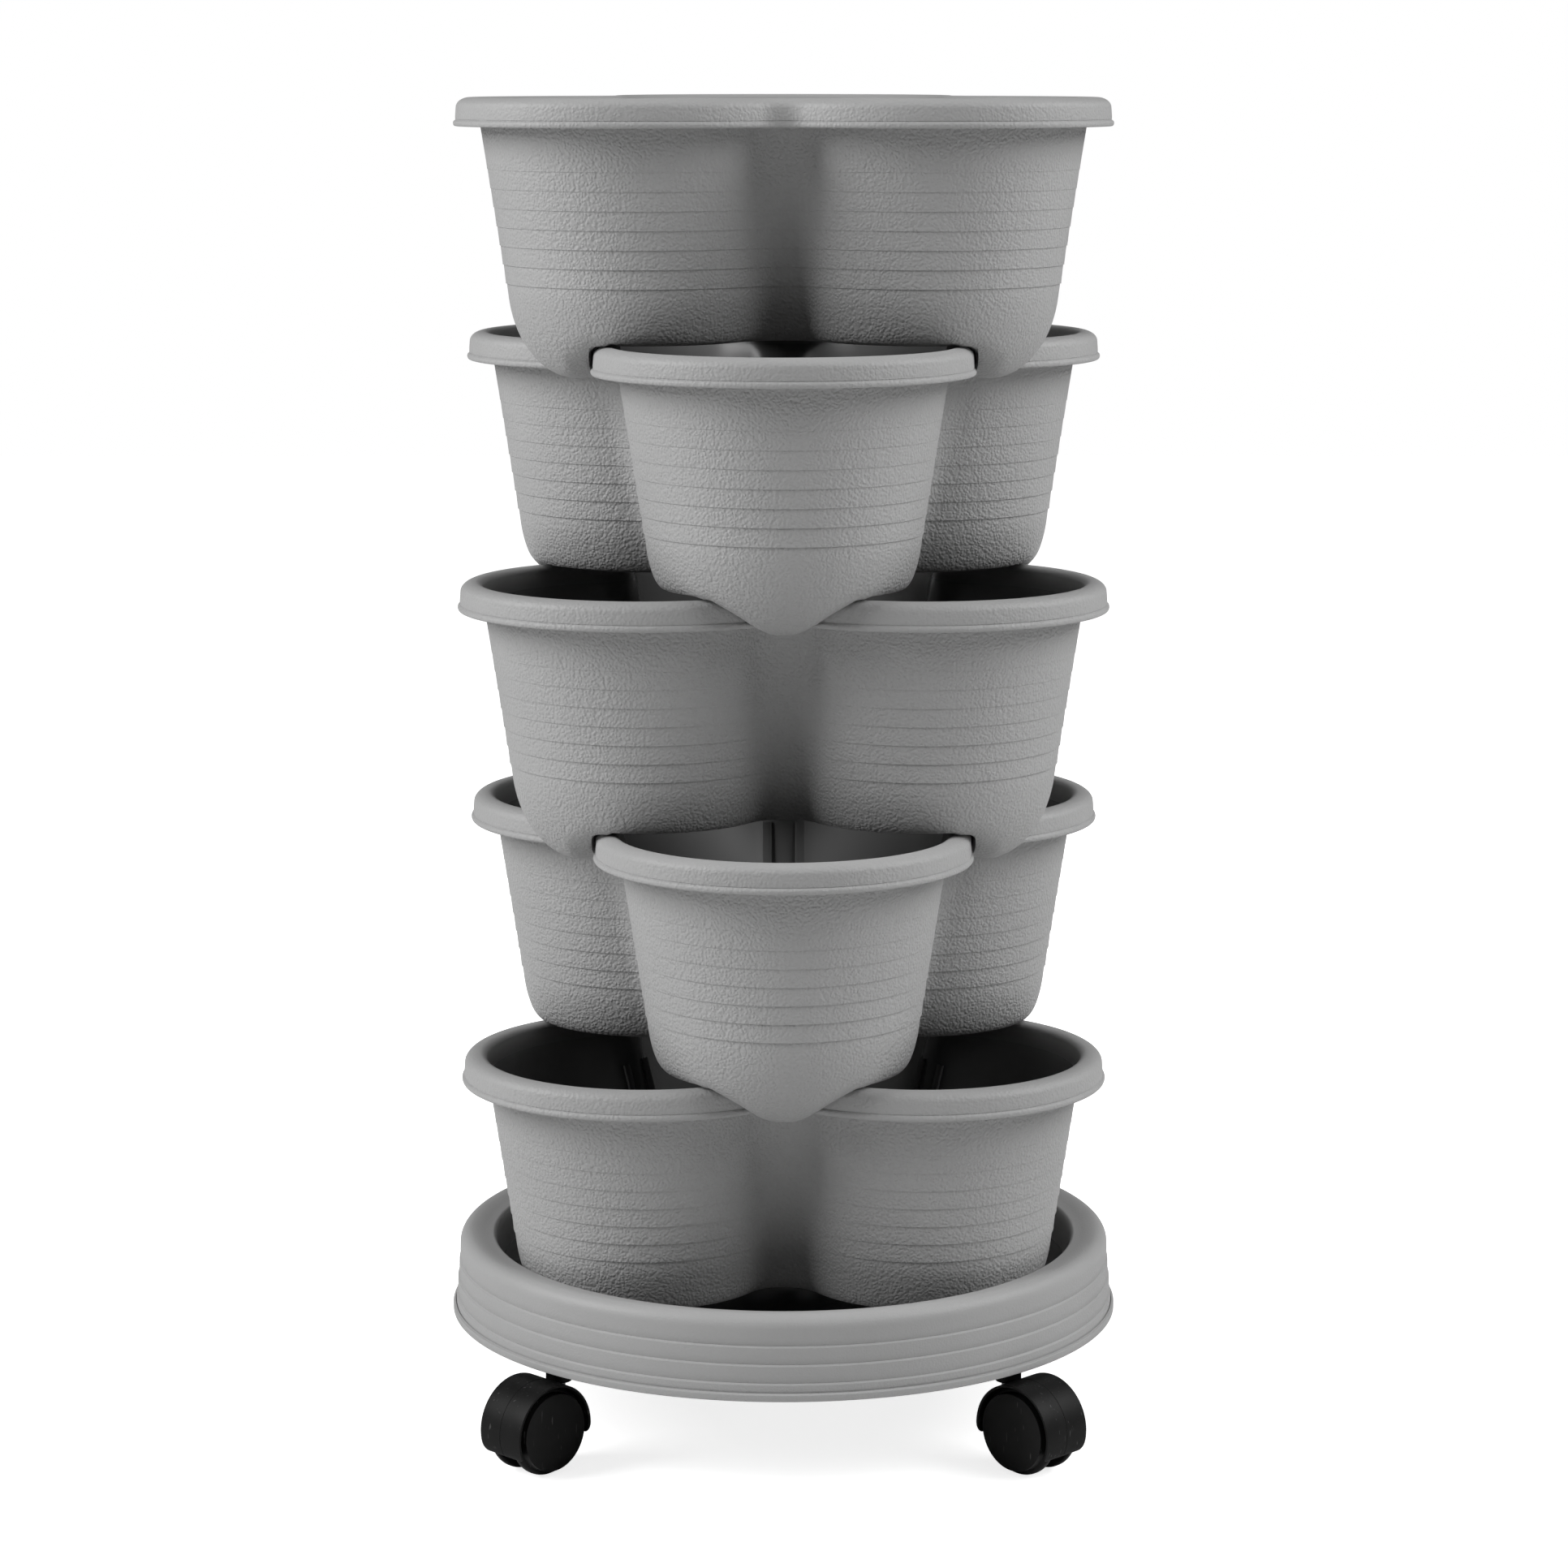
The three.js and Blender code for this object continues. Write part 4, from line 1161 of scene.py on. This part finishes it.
# Each lamp's place and size in metres, and its power in watts
lamps = {"left_panel": ((-2.88, -0.72, 2.28), (2.1, 2.0), 119),
         "right_panel": ((2.77, -0.39, 2.53), (3.4, 2.0), 116),
         "top_light": ((0.0, -1.3, 1.95), (1.6, 0.9), 1.5)}


def studio_floor():
    far = floor_reach_m
    mesh = bpy.data.meshes.new("studio_floor")
    mesh.from_pydata([(-far, -far, 0), (far, -far, 0), (far, far, 0), (-far, far, 0)],
                     [], [(0, 1, 2, 3)])
    material, tree, surface, place = new_material("pale_studio_paper")
    distance = add_node(tree, "ShaderNodeVectorMath", {0: place}, operation="LENGTH").outputs["Value"]
    glow = add_node(tree, "ShaderNodeMapRange", {
        "Value": distance, "From Min": glow_start, "From Max": glow_end,
        "To Min": glow_under_tower, "To Max": 1.0},
        interpolation_type="SMOOTHSTEP").outputs["Result"]
    seen = add_node(tree, "ShaderNodeLightPath").outputs["Is Camera Ray"]
    strength = add_node(tree, "ShaderNodeMath", {0: glow, 1: seen}, operation="MULTIPLY").outputs[0]
    feed(tree, surface, {
        "Base Color": linear(paper_colour), "Roughness": paper_roughness,
        "Specular IOR Level": paper_specular, "Emission Color": linear(white),
        "Emission Strength": strength})
    mesh.materials.append(material)
    new_object("studio_floor", mesh)


def white_world(ambient):
    """A world that the camera sees white, but that lights the tower with the ambient alone."""
    world = bpy.data.worlds.new("white_room")
    world.use_nodes = True
    tree = world.node_tree
    path = add_node(tree, "ShaderNodeLightPath").outputs
    direct = add_node(tree, "ShaderNodeMath", {
        0: path["Is Camera Ray"], 1: path["Is Transmission Ray"]}, operation="MAXIMUM").outputs[0]
    strength = add_node(tree, "ShaderNodeMapRange", {
        "Value": direct, "To Min": ambient, "To Max": 1.0}).outputs["Result"]
    feed(tree, tree.nodes["Background"], {"Color": linear(white), "Strength": strength})
    bpy.context.scene.world = world


def soft_box(name, place, aim, size, watts):
    data = bpy.data.lights.new(name, "AREA")
    data.shape, data.size, data.size_y, data.energy = "RECTANGLE", size[0], size[1], watts
    lamp = new_object(name, data)
    lamp.location = place
    lamp.rotation_euler = (Vector(aim) - Vector(place)).to_track_quat("-Z", "Y").to_euler()


studio_floor()
white_world(ambient_light)
for name, (place, size, watts) in lamps.items():
    soft_box(name, place, tower_middle, size, watts)
bpy.context.scene.view_settings.view_transform = "Standard"
